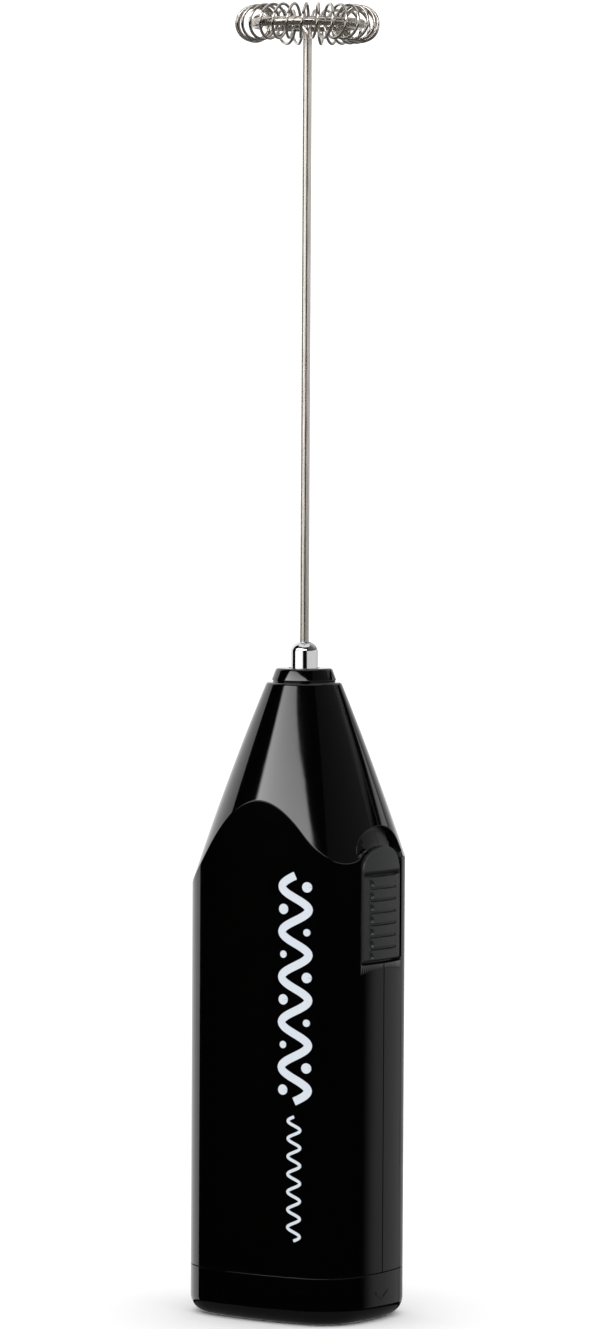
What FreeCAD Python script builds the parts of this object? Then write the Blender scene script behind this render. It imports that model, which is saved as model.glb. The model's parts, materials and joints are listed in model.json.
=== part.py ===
"""Hand-held battery milk frother, standing on its base with the whisk up.

Millimetres, +Z up. The origin is on the whisk's spin axis, in the plane that the base stands on.
+X points to the thumb switch, and the two half shells meet in the plane Y = 0.
"""
import FreeCAD, Part
import math
import os

V = FreeCAD.Vector
UP = V(0, 0, 1)

# ---- body outline: an oval of eight tangent arcs, cut by a slightly convex turned nose at the top
oval_half_width = 13.5
oval_side_radius = 60.0
oval_end_radius = 30.0
oval_corner_radius = 8.5
oval_centre_x = -0.9
nose_above_motor = 17.5
nose_radius = 6.2
nose_half_angle = 20.06
nose_profile_radius = 450.0
nose_slant_length = 36.0
nose_edge_radius = 0.5
crease_radius = 0.35
wall = 1.8
nose_wall = 2.2
nose_hole_radius = 3.9
dowel_below_shaft_top = 4.5
dowel_beside_coupling = 3.6
dowel_boss_radius = 2.0
dowel_radius = 0.9
dowel_length = 1.6
dowel_clearance = 0.05
dowel_end_gap = 0.2

# ---- battery cover
cover_height = 8.0
seam_gap = 0.15
seam_edge_radius = 0.2
base_edge_radius = 2.8
base_wall = 1.8
tongue_height = 4.0
tongue_thickness = 1.2
tongue_half_length = 8.5
tongue_root_sink = 0.2
tongue_root_drop = 1.5
slip_clearance = 0.15

# ---- AA cells, side by side, one each way up
cell_radius = 7.2
cell_body_length = 49.5
cell_nub_length = 1.0
cell_nub_radius = 2.75
cell_edge_radius = 0.5
cell_gap = 0.4
cell_side_clearance = 0.7
cell_floor_gap = 4.2

# ---- carrier between the cells and the motor
carrier_gap = 2.0
carrier_plate = 1.6
carrier_arm_thickness = 1.4
carrier_arm_half_width = 6.0
carrier_arm_height = 20.0
contact_thickness = 0.4
top_plate_half_width = 3.5
minus_plate_half_width = 4.2
button_tip_radius = 1.8
button_base_radius = 2.6
bottom_strip_reach = 4.0
bottom_strip_half_width = 3.5
bottom_pad_base_radius = 3.2
bottom_pad_tip_radius = 2.2

# ---- motor: a flat-sided can with a three-pole rotor
motor_gap = 2.2
motor_length = 25.0
motor_radius = 10.05
motor_half_flat = 7.55
motor_clearance = 0.1
can_wall = 0.8
cap_thickness = 1.5
cap_lip = 2.0
cap_lip_thickness = 1.2
cap_lip_clearance = 0.05
cap_boss_height = 0.9
boss_radius = 3.1
boss_height = 1.7
bush_radius = 2.4
front_bush_inside = 1.2
rear_bush_inside = 0.5
shaft_radius = 1.0
running_clearance = 0.04
shaft_reach = 11.5
shaft_tail = 0.3
magnet_thickness = 2.2
magnet_top_gap = 2.0
magnet_overlap = 0.2
magnet_flat_gap = 1.2
magnet_half_opening = 1.0
air_gap = 0.4
core_length = 12.0
core_hub_radius = 2.2
core_arm_width = 2.2
core_shoe_thickness = 1.1
core_shoe_angle = 96.0
winding_overhang = 1.2
winding_thickness = 1.1
winding_clearance = 0.05
winding_hub_gap = 0.3
winding_edge_radius = 0.6
winding_half_sector = 59.0
winding_commutator_gap = 0.6
commutator_radius = 2.3
commutator_length = 3.0
commutator_slot = 0.3
commutator_slot_depth = 0.4
commutator_slot_end = 0.5
commutator_gap = 0.9
brush_clearance = 0.1
brush_thickness = 0.25
brush_width = 1.8
brush_past_centre = 2.5
terminal_inset = 3.0
terminal_width = 1.5
terminal_gap = 0.3

# ---- thumb switch
pad_half_width = 5.6
pad_above_carrier = 0.9
pad_straight_height = 14.4
pad_dome_height = 4.5
pad_thickness = 0.8
recess_depth = 1.1
recess_gap = 0.4
scoop_margin = 0.5
scoop_above_shoulder = 3.0
scoop_height = 4.7
scoop_drop = 0.8
slot_dome_height = 3.0
switch_travel = 2.5
rib_count = 7
rib_pitch = 2.0
rib_height = 0.35
rib_groove = 0.3
rib_half_length = 3.9
rib_notch_radius = 0.55
rib_root = 0.2
thumb_groove_width = 0.9
thumb_groove_depth = 0.5
stem_half_width = 1.8
stem_above_pad_bottom = 4.6
stem_height = 5.0
stem_gap = 0.4
foot_half_width = 3.4
foot_thickness = 1.0
foot_gap = 0.25
foot_overhang = 1.0
stem_root = 0.3
wiper_thickness = 0.3
wiper_gap = 0.3
wiper_below_stem_middle = 2.0
wiper_above_stem_middle = 1.2
blade_above_stem_middle = 1.6
strip_width = 1.9
strip_gap = 1.1
strip_leg_width = 1.5
strip_tail_lap = 1.0

# ---- nose collar, coupling and whisk
collar_base_radius = 5.4
collar_top_radius = 4.65
collar_height = 2.0
collar_step = 0.35
collar_edge_radius = 0.45
collar_flange = 0.8
collar_flange_height = 1.2
coupling_radius = 2.28
coupling_gap = 0.35
coupling_tail = 2.0
coupling_show = 4.35
coupling_dome = 1.7
coupling_chamfer = 0.3
rod_radius = 0.75
rod_grip = 10.5
rod_show = 102.1
whisk_mean_radius = 8.95
whisk_coil_radius = 2.78
whisk_wire_radius = 0.25
whisk_turns = 27
whisk_grip_turns = 0.75
whisk_grip_gap = 0.02
whisk_end_angle = 1.5
rod_bend_radius = 2.2
rod_corner_radius = 2.0
rod_ring_sweep = 336.0

# ---- battery springs
spring_wire_radius = 0.3
spring_base_radius = 3.8
spring_tip_radius = 1.8
spring_turns = 2.25

# ---- derived places
nose_turn = math.radians(nose_half_angle)
nose_sink = math.sqrt(nose_profile_radius ** 2 - (nose_slant_length / 2) ** 2)
oval_half_length = wall + cell_side_clearance + 2 * cell_radius + cell_gap / 2
oval_end_x = oval_centre_x + oval_half_length
cell_z = base_wall + contact_thickness + cell_floor_gap
cell_top_z = cell_z + cell_body_length + cell_nub_length
cell_offset = cell_radius + cell_gap / 2
carrier_z = cell_top_z + carrier_gap
carrier_top_z = carrier_z + carrier_plate
motor_z = carrier_top_z + motor_gap
motor_top_z = motor_z + motor_length
nose_z = motor_top_z + nose_above_motor
# the nose profile's centre lies behind the middle of its chord
profile_x = nose_radius + nose_slant_length / 2 * math.sin(nose_turn) - nose_sink * math.cos(nose_turn)
profile_z = nose_z - nose_slant_length / 2 * math.cos(nose_turn) - nose_sink * math.sin(nose_turn)
can_z = motor_z + cap_thickness
rotor_radius = motor_radius - can_wall - magnet_thickness - air_gap
commutator_z = can_z + commutator_gap
core_z = commutator_z + commutator_length + winding_overhang + winding_commutator_gap
shaft_top_z = motor_top_z + shaft_reach
coupling_z = motor_top_z + boss_height + coupling_tail
coupling_top_z = nose_z + collar_step + collar_height + coupling_show
rod_z = coupling_top_z - rod_grip
whisk_z = coupling_top_z + rod_show
pad_bottom_z = carrier_z + pad_above_carrier
pad_shoulder_z = pad_bottom_z + pad_straight_height
scoop_half_width = pad_half_width + recess_gap + scoop_margin
scoop_shoulder_z = pad_shoulder_z + scoop_above_shoulder
stem_bottom_z = pad_bottom_z + stem_above_pad_bottom
foot_x = oval_end_x - wall - foot_gap - foot_thickness
wiper_x = foot_x - wiper_thickness
strip_x = wiper_x - wiper_gap - contact_thickness
rib_top_z = pad_shoulder_z - thumb_groove_width / 2
stem_middle_z = stem_bottom_z + stem_height / 2
terminal_x = motor_radius - terminal_inset
terminal_z = carrier_top_z + terminal_gap


def box(x0, x1, y0, y1, z0, z1):
    """A box from its lowest to its highest corner."""
    return Part.makeBox(x1 - x0, y1 - y0, z1 - z0, V(x0, y0, z0))


def rod(radius, z0, z1, x=0.0, y=0.0):
    """An upright cylinder."""
    return Part.makeCylinder(radius, z1 - z0, V(x, y, z0), UP)


def tube(outer, inner, z0, z1):
    """An upright ring on the spin axis."""
    return rod(outer, z0, z1).cut(rod(inner, z0 - 1, z1 + 1))


def edges_where(shape, test):
    """The edges of a shape whose bounding box passes a test."""
    return [edge for edge in shape.Edges if test(edge.BoundBox)]


def save(name, shape):
    """Write one sub-part; several separate solids stay together as one group."""
    solids = shape.Solids
    result = solids[0] if len(solids) == 1 else Part.makeCompound(solids)
    result.exportStep("parts/" + name + ".step")
    print(f"{name}: {len(solids)} solid(s), {result.Volume:.1f} mm3, valid {result.isValid()}")


# ---- body forms


def oval_face(inset, z):
    """The body's oval section, shrunk by inset, as a face at height z.

    Side arcs, end arcs and corner arcs are tangent, and an inset only shortens their radii.
    """
    side_y = oval_half_width - oval_side_radius
    end_x = oval_half_length - oval_end_radius
    to_side = oval_side_radius - oval_corner_radius
    to_end = oval_end_radius - oval_corner_radius
    span = math.hypot(end_x, side_y)
    along = (to_side ** 2 - to_end ** 2 + span ** 2) / (2 * span)
    across = math.sqrt(to_side ** 2 - along ** 2)
    ux, uy = end_x / span, -side_y / span
    corner = (along * ux - across * uy, side_y + along * uy + across * ux)
    if corner[0] < 0 or corner[1] < 0:
        corner = (along * ux + across * uy, side_y + along * uy - across * ux)
    side_turn = math.atan2(corner[1] - side_y, corner[0])
    end_turn = math.atan2(corner[1], corner[0] - end_x)
    arcs = [
        (end_x, 0.0, oval_end_radius, -end_turn, end_turn),
        (corner[0], corner[1], oval_corner_radius, end_turn, side_turn),
        (0.0, side_y, oval_side_radius, side_turn, math.pi - side_turn),
        (-corner[0], corner[1], oval_corner_radius, math.pi - side_turn, math.pi - end_turn),
        (-end_x, 0.0, oval_end_radius, math.pi - end_turn, math.pi + end_turn),
        (-corner[0], -corner[1], oval_corner_radius, math.pi + end_turn, math.pi + side_turn),
        (0.0, -side_y, oval_side_radius, math.pi + side_turn, 2 * math.pi - side_turn),
        (corner[0], -corner[1], oval_corner_radius, -side_turn, -end_turn),
    ]
    edges = []
    for cx, cy, radius, start, stop in arcs:
        points = []
        for turn in (start, (start + stop) / 2, stop):
            x = oval_centre_x + cx + (radius - inset) * math.cos(turn)
            y = cy + (radius - inset) * math.sin(turn)
            points.append(V(x, y, z))
        edges.append(Part.Arc(*points).toShape())
    return Part.Face(Part.Wire(edges))


def prism(inset, z0, z1):
    """The oval section carried straight up."""
    return oval_face(inset, z0).extrude(V(0, 0, z1 - z0))


def nose_form(inset, z0, z1):
    """The turned form that the nose follows: a long arc about the spin axis, shrunk by inset."""
    radius = nose_profile_radius - inset
    points = []
    for z in (z0, (z0 + z1) / 2, z1):
        points.append(V(profile_x + math.sqrt(radius ** 2 - (z - profile_z) ** 2), 0, z))
    low, middle, high = points
    edges = [
        Part.LineSegment(V(0, 0, z0), low).toShape(),
        Part.Arc(low, middle, high).toShape(),
        Part.LineSegment(high, V(0, 0, z1)).toShape(),
        Part.LineSegment(V(0, 0, z1), V(0, 0, z0)).toShape(),
    ]
    return Part.Face(Part.Wire(edges)).revolve(V(0, 0, 0), UP, 360)


def body_form(inset, z0, z1):
    """The body's outer form, or the same form shrunk by inset."""
    return prism(inset, z0, z1).common(nose_form(inset, z0, z1))


def arch_face(half_width, z0, shoulder_z, height):
    """A flat face in the plane X = 0: straight sides up to a half-ellipse top."""
    centre = V(0, 0, shoulder_z)
    beside = V(0, half_width, shoulder_z)
    above = V(0, 0, shoulder_z + height)
    if half_width >= height:
        top = Part.Ellipse(beside, above, centre)
    else:
        top = Part.Ellipse(above, beside, centre)
    disc = Part.Face(Part.Wire([top.toShape()]))
    corners = [
        V(0, -half_width, z0),
        V(0, half_width, z0),
        V(0, half_width, shoulder_z),
        V(0, -half_width, shoulder_z),
        V(0, -half_width, z0),
    ]
    sides = Part.Face(Part.makePolygon(corners))
    return disc.fuse(sides).removeSplitter()


def arch_prism(half_width, z0, shoulder_z, height, reach):
    """The arch outline carried from the spin axis out through the switch side."""
    return arch_face(half_width, z0, shoulder_z, height).extrude(V(reach, 0, 0))


# ---- housing


def full_shell():
    """Both halves of the housing in one piece, open at the bottom."""
    low = cover_height + seam_gap / 2
    outer = body_form(0.0, low, nose_z)
    rim = edges_where(outer, lambda b: b.ZMin > nose_z - 0.01)
    outer = outer.makeFillet(nose_edge_radius, rim)
    crease = edges_where(outer, lambda b: b.ZMin > carrier_top_z and b.ZMax < nose_z - nose_wall)
    outer = outer.makeFillet(crease_radius, crease)
    foot = edges_where(outer, lambda b: b.ZMax < low + 0.01)
    outer = outer.makeFillet(seam_edge_radius, foot)
    inner = body_form(wall, low - 1, nose_z - nose_wall)
    shell = outer.cut(inner).cut(rod(nose_hole_radius, nose_z - nose_wall - 1, nose_z + 1))
    reach = oval_end_x + 5
    recess_floor = body_form(recess_depth, pad_bottom_z - 5, nose_z)
    slot = arch_prism(
        pad_half_width + recess_gap, pad_bottom_z - recess_gap, scoop_shoulder_z, slot_dome_height, reach
    )
    scoop = arch_prism(
        scoop_half_width, scoop_shoulder_z - scoop_drop, scoop_shoulder_z, scoop_height, reach
    )
    shell = shell.cut(slot.fuse(scoop).cut(recess_floor))
    stem_slot = box(
        0,
        reach,
        -stem_half_width - stem_gap,
        stem_half_width + stem_gap,
        stem_bottom_z - stem_gap,
        stem_bottom_z + stem_height + switch_travel + stem_gap,
    )
    return shell.cut(stem_slot)


def dowel_places():
    """Where the two halves are located on each other, inside the nose."""
    z = shaft_top_z - dowel_below_shaft_top
    x = coupling_radius + dowel_beside_coupling
    return [(-x, z), (x, z)]


def dowel_boss(x, z, radius, y0, y1):
    """A round post along Y."""
    return Part.makeCylinder(radius, y1 - y0, V(x, y0, z), V(0, 1, 0))


def half_shell(shell, side):
    """One half of the housing: side -1 carries the dowels and side +1 their sockets."""
    big = 60
    keep = box(-big, big, min(0, side * big), max(0, side * big), 0, nose_z + 5)
    half = shell.common(keep)
    inside = body_form(wall / 2, cover_height + 1, nose_z - 1)
    for x, z in dowel_places():
        y0, y1 = sorted((0, side * oval_half_width))
        post = dowel_boss(x, z, dowel_boss_radius, y0, y1).common(inside)
        half = half.fuse(post)
        if side < 0:
            half = half.fuse(dowel_boss(x, z, dowel_radius, -1, dowel_length))
        else:
            socket_radius = dowel_radius + dowel_clearance
            half = half.cut(dowel_boss(x, z, socket_radius, -1, dowel_length + dowel_end_gap))
    return half.removeSplitter()


def nose_collar():
    """The tapered ring at the tip, held by a flange inside the nose wall."""
    base_z = nose_z + collar_step
    ring = Part.makeCone(collar_base_radius, collar_top_radius, collar_height, V(0, 0, base_z), UP)
    top_edge = edges_where(ring, lambda b: b.ZMin > base_z + collar_height - 0.01)
    ring = ring.makeFillet(collar_edge_radius, top_edge)
    step = rod(collar_top_radius, nose_z, base_z)
    neck = rod(nose_hole_radius - slip_clearance / 2, nose_z - nose_wall, nose_z)
    flange_top = nose_z - nose_wall
    flange_radius = nose_hole_radius + collar_flange
    flange = rod(flange_radius, flange_top - collar_flange_height, flange_top)
    bore = rod(coupling_radius + coupling_gap, flange_top - 5, base_z + collar_height + 1)
    return ring.fuse([step, neck, flange]).cut(bore).removeSplitter()


def motor_carrier():
    """The plate between the cells and the motor, with two arms along the motor's flats."""
    plate = prism(wall + slip_clearance, carrier_z, carrier_top_z)
    arm_y = motor_half_flat + motor_clearance
    result = plate
    for side in (-1, 1):
        y0, y1 = sorted((side * arm_y, side * (arm_y + carrier_arm_thickness)))
        arm = box(
            -carrier_arm_half_width,
            carrier_arm_half_width,
            y0,
            y1,
            carrier_z,
            carrier_top_z + motor_gap + carrier_arm_height,
        )
        result = result.fuse(arm)
    gap = slip_clearance
    plus_y0 = -strip_gap / 2 - strip_width
    for x0, x1, y0, y1 in (
        (strip_x, strip_x + contact_thickness, plus_y0, plus_y0 + strip_width),
        (-terminal_x - contact_thickness, -terminal_x, -strip_width, 0.0),
    ):
        result = result.cut(box(x0 - gap, x1 + gap, y0 - gap, y1 + gap, carrier_z - 1, carrier_top_z + 1))
    rear_boss = rod(boss_radius + gap, terminal_z, motor_z + 1)
    return result.cut(rear_boss).removeSplitter()


# ---- battery cover


def battery_cover():
    """The base cap: a shallow cup with two snap tongues on its long sides."""
    cup = prism(0.0, 0.0, cover_height - seam_gap / 2)
    cup = cup.makeFillet(base_edge_radius, edges_where(cup, lambda b: b.ZMax < 0.01))
    top = cover_height - seam_gap / 2
    cup = cup.makeFillet(seam_edge_radius, edges_where(cup, lambda b: b.ZMin > top - 0.01))
    cup = cup.cut(prism(wall, base_wall, cover_height + 1))
    tongue_low = base_wall
    tongue_high = cover_height + tongue_height
    outer = prism(wall + slip_clearance, tongue_low, tongue_high)
    inner = prism(wall + slip_clearance + tongue_thickness, tongue_low - 1, tongue_high + 1)
    band = outer.cut(inner)
    strip = box(
        oval_centre_x - tongue_half_length,
        oval_centre_x + tongue_half_length,
        -oval_half_width,
        oval_half_width,
        tongue_low - 1,
        tongue_high + 1,
    )
    root = prism(wall - tongue_root_sink, tongue_low, cover_height - tongue_root_drop)
    root = root.cut(inner).common(strip)
    return cup.fuse(band.common(strip)).fuse(root).removeSplitter()


def cover_contact():
    """The strip that joins the two cells at the bottom, with a raised pad under the nub."""
    x = oval_centre_x
    z0 = base_wall
    z1 = base_wall + contact_thickness
    reach = cell_offset + bottom_strip_reach
    strip = box(x - reach, x + reach, -bottom_strip_half_width, bottom_strip_half_width, z0, z1)
    place = V(x - cell_offset, 0, z1)
    pad = Part.makeCone(bottom_pad_base_radius, bottom_pad_tip_radius, cell_z - z1, place, UP)
    return strip.fuse(pad).removeSplitter()


def coil_point(turn, turns, base_radius, tip_radius, height):
    """A point of a conical spring, at a turn counted from its base."""
    share = turn / turns
    radius = base_radius + (tip_radius - base_radius) * share
    angle = 2 * math.pi * turn
    return V(radius * math.cos(angle), radius * math.sin(angle), height * share)


def wire_body(points, radius):
    """A round wire through points: every span is an arc or a pair of arcs that keep its direction."""
    count = len(points)
    ways = []
    for i in range(count):
        if i == 0:
            way = (points[1] - points[0]) * 1.5 - (points[2] - points[1]) * 0.5
        elif i == count - 1:
            way = (points[-1] - points[-2]) * 1.5 - (points[-2] - points[-3]) * 0.5
        else:
            way = points[i + 1] - points[i - 1]
        ways.append(V(way).normalize())
    edges = []
    for i in range(count - 1):
        chord = points[i + 1] - points[i]
        both = ways[i] + ways[i + 1]
        bend = 2 * (1 - ways[i].dot(ways[i + 1]))
        lean = chord.dot(both)
        arm = (math.sqrt(lean ** 2 + bend * chord.dot(chord)) - lean) / bend
        joint = (points[i] + ways[i] * arm + points[i + 1] - ways[i + 1] * arm) * 0.5
        joint_way = (points[i + 1] - ways[i + 1] * arm) - (points[i] + ways[i] * arm)
        edges.append(arc_edge(points[i], ways[i], joint))
        edges.append(arc_edge(joint, V(joint_way).normalize(), points[i + 1]))
    path = Part.Wire(edges)
    section = Part.Wire([Part.Circle(points[0], ways[0], radius).toShape()])
    return path.makePipeShell([section], True, False)


def arc_edge(start, way, stop):
    """The arc from start, leaving along way, to stop."""
    chord = stop - start
    middle = (start + stop) * 0.5
    forward = V(chord).normalize()
    sideways = way - forward * way.dot(forward)
    rise = chord.Length / 2 * math.tan(math.acos(max(-1.0, min(1.0, way.dot(forward)))) / 2)
    return Part.Arc(start, middle + sideways.normalize() * rise, stop).toShape()


def battery_spring(x, base_z, height, flip):
    """A conical contact spring, standing on base_z, or hanging from it when flip is True."""
    free = height - 2 * spring_wire_radius
    steps = int(spring_turns * 12)
    points = []
    for i in range(steps + 1):
        turn = spring_turns * i / steps
        point = coil_point(turn, spring_turns, spring_base_radius, spring_tip_radius, free)
        z = base_z - spring_wire_radius - point.z if flip else base_z + spring_wire_radius + point.z
        points.append(V(x + point.x, point.y, z))
    return wire_body(points, spring_wire_radius)


# ---- cells and contacts


def cell(x, nub_up):
    """One AA cell, standing, with its nub up or down."""
    low = cell_z if nub_up else cell_z + cell_nub_length
    body = rod(cell_radius, low, low + cell_body_length, x)
    body = body.makeFillet(cell_edge_radius, edges_where(body, lambda b: b.ZLength < 0.01))
    if nub_up:
        nub = rod(cell_nub_radius, low + cell_body_length - 0.5, cell_top_z, x)
    else:
        nub = rod(cell_nub_radius, cell_z, low + 0.5, x)
    return body.fuse(nub)


def contact_plus():
    """The positive top contact: a plate with a pressed button and an arm up to the switch."""
    x = oval_centre_x + cell_offset
    plate_z = carrier_z - contact_thickness
    y0 = -strip_gap / 2 - strip_width
    half = top_plate_half_width
    plate = box(x - half, x + half, -half, half, plate_z, carrier_z)
    lead = box(x, strip_x + contact_thickness, y0, y0 + strip_width, plate_z, carrier_z)
    tip = V(x, 0, cell_top_z)
    button = Part.makeCone(button_tip_radius, button_base_radius, plate_z - cell_top_z, tip, UP)
    arm_top = stem_bottom_z + stem_height + switch_travel
    arm = box(strip_x, strip_x + contact_thickness, y0, y0 + strip_width, plate_z, arm_top)
    return plate.fuse([lead, button, arm]).removeSplitter()


def contact_minus():
    """The negative top contact: a plate under the carrier and an arm to the motor's terminal."""
    x = oval_centre_x - cell_offset
    plate_z = carrier_z - contact_thickness
    half = minus_plate_half_width
    plate = box(x - half, x + half, -half, half, plate_z, carrier_z)
    arm_top = terminal_z + contact_thickness
    arm = box(-terminal_x - contact_thickness, -terminal_x, -strip_width, 0, plate_z, arm_top)
    return plate.fuse(arm).removeSplitter()


def switch_strip():
    """The fixed strip from the switch down to the motor's positive terminal."""
    y0 = strip_gap / 2
    y1 = y0 + strip_width
    top = stem_bottom_z + stem_height + switch_travel
    outer_x = strip_x + contact_thickness
    blade = box(strip_x, outer_x, y0, y1, stem_middle_z + blade_above_stem_middle, top)
    leg_y = y1 + strip_leg_width
    leg = box(strip_x, outer_x, y1, leg_y, terminal_z, top)
    near_x = terminal_x + contact_thickness
    foot_top = terminal_z + contact_thickness
    foot = box(near_x, outer_x, y1, leg_y, terminal_z, foot_top)
    tail = box(terminal_x, near_x, y1 - strip_tail_lap, leg_y, terminal_z, foot_top)
    return blade.fuse([leg, foot, tail]).removeSplitter()


# ---- motor


def motor_section(inset, z0, z1):
    """The motor's flat-sided round section, shrunk by inset."""
    flat = motor_half_flat - inset
    big = motor_radius + 1
    return rod(motor_radius - inset, z0, z1).common(box(-big, big, -flat, flat, z0, z1))


def motor_can():
    """The drawn steel can with its bearing boss."""
    can = motor_section(0.0, can_z, motor_top_z)
    boss = rod(boss_radius, motor_top_z - 0.1, motor_top_z + boss_height)
    hollow = motor_section(can_wall, can_z - 1, motor_top_z - can_wall)
    hole = rod(bush_radius, motor_top_z - can_wall - 1, motor_top_z + boss_height + 1)
    return can.fuse(boss).cut(hollow).cut(hole)


def motor_end_cap():
    """The moulded end cap with its lip, boss and two slots for the brush terminals."""
    plate = motor_section(0.0, motor_z, can_z)
    lip = motor_section(can_wall + cap_lip_clearance, can_z, can_z + cap_lip)
    lip = lip.cut(motor_section(can_wall + cap_lip_thickness, can_z, can_z + cap_lip + 1))
    boss = rod(boss_radius, motor_z - cap_boss_height, motor_z)
    cap = plate.fuse([lip, boss]).cut(rod(bush_radius, motor_z - 2, can_z + 1))
    for side in (-1, 1):
        cap = cap.cut(brush(side))
    return cap


def magnet(side):
    """One arc magnet against the can's round wall."""
    outer = motor_radius - can_wall
    z0 = commutator_z + commutator_length - magnet_overlap
    z1 = motor_top_z - can_wall - magnet_top_gap
    ring = tube(outer, outer - magnet_thickness, z0, z1)
    flat = motor_half_flat - can_wall - magnet_flat_gap
    x0, x1 = sorted((side * magnet_half_opening, side * (outer + 1)))
    return ring.common(box(x0, x1, -flat, flat, z0, z1))


def bush(z0, z1):
    """A sintered bearing bush with running clearance on the motor shaft."""
    return tube(bush_radius, shaft_radius + running_clearance, z0, z1)


def brush(side):
    """A leaf brush beside the commutator, with its terminal through the end cap."""
    near = commutator_radius + brush_clearance
    z0 = commutator_z + (commutator_length - brush_width) / 2
    far = near + brush_thickness
    leaf = box(-brush_past_centre, terminal_x + contact_thickness, near, far, z0, z0 + brush_width)
    blade_z = terminal_z + contact_thickness
    blade = box(
        terminal_x,
        terminal_x + contact_thickness,
        far - terminal_width,
        far,
        blade_z,
        z0 + brush_width,
    )
    leaf = leaf.fuse(blade).removeSplitter()
    if side < 0:
        leaf.rotate(V(0, 0, 0), UP, 180)
    return leaf


def armature_core():
    """The laminated three-pole core."""
    z1 = core_z + core_length
    core = rod(core_hub_radius, core_z, z1)
    ring = tube(rotor_radius, rotor_radius - core_shoe_thickness, core_z, z1)
    half = math.radians(core_shoe_angle / 2)
    reach = rotor_radius * 2
    wedge_points = [
        V(0, 0, core_z),
        V(reach * math.cos(half), -reach * math.sin(half), core_z),
        V(reach * math.cos(half), reach * math.sin(half), core_z),
        V(0, 0, core_z),
    ]
    wedge = Part.Face(Part.makePolygon(wedge_points)).extrude(V(0, 0, core_length))
    shoe = ring.common(wedge)
    inner = rotor_radius - core_shoe_thickness / 2
    arm = box(0, inner, -core_arm_width / 2, core_arm_width / 2, core_z, z1)
    pole = shoe.fuse(arm)
    for turn in (0, 120, 240):
        piece = pole.copy()
        piece.rotate(V(0, 0, 0), UP, turn)
        core = core.fuse(piece)
    return core.cut(rod(shaft_radius, core_z - 1, z1 + 1)).removeSplitter()


def armature_windings():
    """Three coils of enamelled wire, one round each arm of the core."""
    gap = winding_clearance
    x0 = core_hub_radius + winding_hub_gap
    x1 = rotor_radius - core_shoe_thickness - gap
    half = core_arm_width / 2 + winding_thickness
    z0 = core_z - winding_overhang
    z1 = core_z + core_length + winding_overhang
    coil = box(x0, x1, -half, half, z0, z1)
    coil = coil.makeFillet(winding_edge_radius, edges_where(coil, lambda b: b.XLength > x1 - x0 - 0.01))
    arm_half = core_arm_width / 2 + gap
    coil = coil.cut(box(0, x1 + 1, -arm_half, arm_half, core_z - gap, core_z + core_length + gap))
    wedge_half = math.radians(winding_half_sector)
    reach = rotor_radius * 2
    sector = [
        V(0, 0, z0),
        V(reach * math.cos(wedge_half), -reach * math.sin(wedge_half), z0),
        V(reach * math.cos(wedge_half), reach * math.sin(wedge_half), z0),
        V(0, 0, z0),
    ]
    coil = coil.common(Part.Face(Part.makePolygon(sector)).extrude(V(0, 0, z1 - z0)))
    coil = coil.common(rod(x1, z0, z1))
    coils = []
    for turn in (0, 120, 240):
        piece = coil.copy()
        piece.rotate(V(0, 0, 0), UP, turn)
        coils.append(piece)
    return Part.makeCompound(coils)


def commutator():
    """The drum with three copper bars, parted by shallow slots."""
    z1 = commutator_z + commutator_length
    drum = tube(commutator_radius, shaft_radius, commutator_z, z1)
    for turn in (60, 180, 300):
        slot = box(
            commutator_radius - commutator_slot_depth,
            commutator_radius + 1,
            -commutator_slot / 2,
            commutator_slot / 2,
            commutator_z - 1,
            z1 - commutator_slot_end,
        )
        slot.rotate(V(0, 0, 0), UP, turn)
        drum = drum.cut(slot)
    return drum


# ---- switch


def switch_slider():
    """The thumb pad with its ribs, stem and inner foot."""
    reach = oval_end_x + 5
    top = nose_z - 5
    outline = arch_prism(pad_half_width, pad_bottom_z, pad_shoulder_z, pad_dome_height, reach)
    skin = body_form(0.0, pad_bottom_z - 5, top).cut(body_form(pad_thickness, pad_bottom_z - 6, top))
    pad = outline.common(skin)
    groove_floor = body_form(thumb_groove_depth, pad_bottom_z - 5, top)
    groove_low = pad_shoulder_z - thumb_groove_width / 2
    groove_half = pad_half_width + 1
    groove = box(0, reach, -groove_half, groove_half, groove_low, groove_low + thumb_groove_width)
    pad = pad.cut(groove.cut(groove_floor))
    raised = body_form(-rib_height, pad_bottom_z - 5, top).cut(body_form(rib_root, pad_bottom_z - 6, top))
    for i in range(rib_count):
        rib_z1 = rib_top_z - i * rib_pitch
        rib_z0 = max(rib_z1 - rib_pitch + rib_groove, pad_bottom_z)
        bar = box(0, reach, -rib_half_length, rib_half_length, rib_z0, rib_z1)
        for side in (-1, 1):
            centre = V(0, side * rib_half_length, (rib_z0 + rib_z1) / 2)
            bar = bar.cut(Part.makeCylinder(rib_notch_radius, reach, centre, V(1, 0, 0)))
        pad = pad.fuse(bar.common(raised))
    pad_inner_x = oval_end_x - pad_thickness
    stem = box(
        foot_x,
        pad_inner_x + stem_root,
        -stem_half_width,
        stem_half_width,
        stem_bottom_z,
        stem_bottom_z + stem_height,
    )
    foot_tall = stem_height + 2 * foot_overhang
    foot_z = stem_middle_z - foot_tall / 2
    foot = box(foot_x, foot_x + foot_thickness, -foot_half_width, foot_half_width, foot_z, foot_z + foot_tall)
    return pad.fuse([stem, foot]).removeSplitter()


def switch_wiper():
    """The sprung bridge on the slider's foot that joins the two strips when it is up."""
    half = strip_gap / 2 + strip_width
    low = stem_middle_z - wiper_below_stem_middle
    high = stem_middle_z + wiper_above_stem_middle
    return box(wiper_x, wiper_x + wiper_thickness, -half, half, low, high)


# ---- whisk


def motor_shaft():
    """The steel shaft through the motor and up into the coupling."""
    return rod(shaft_radius, motor_z - cap_boss_height - shaft_tail, shaft_top_z)


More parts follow.
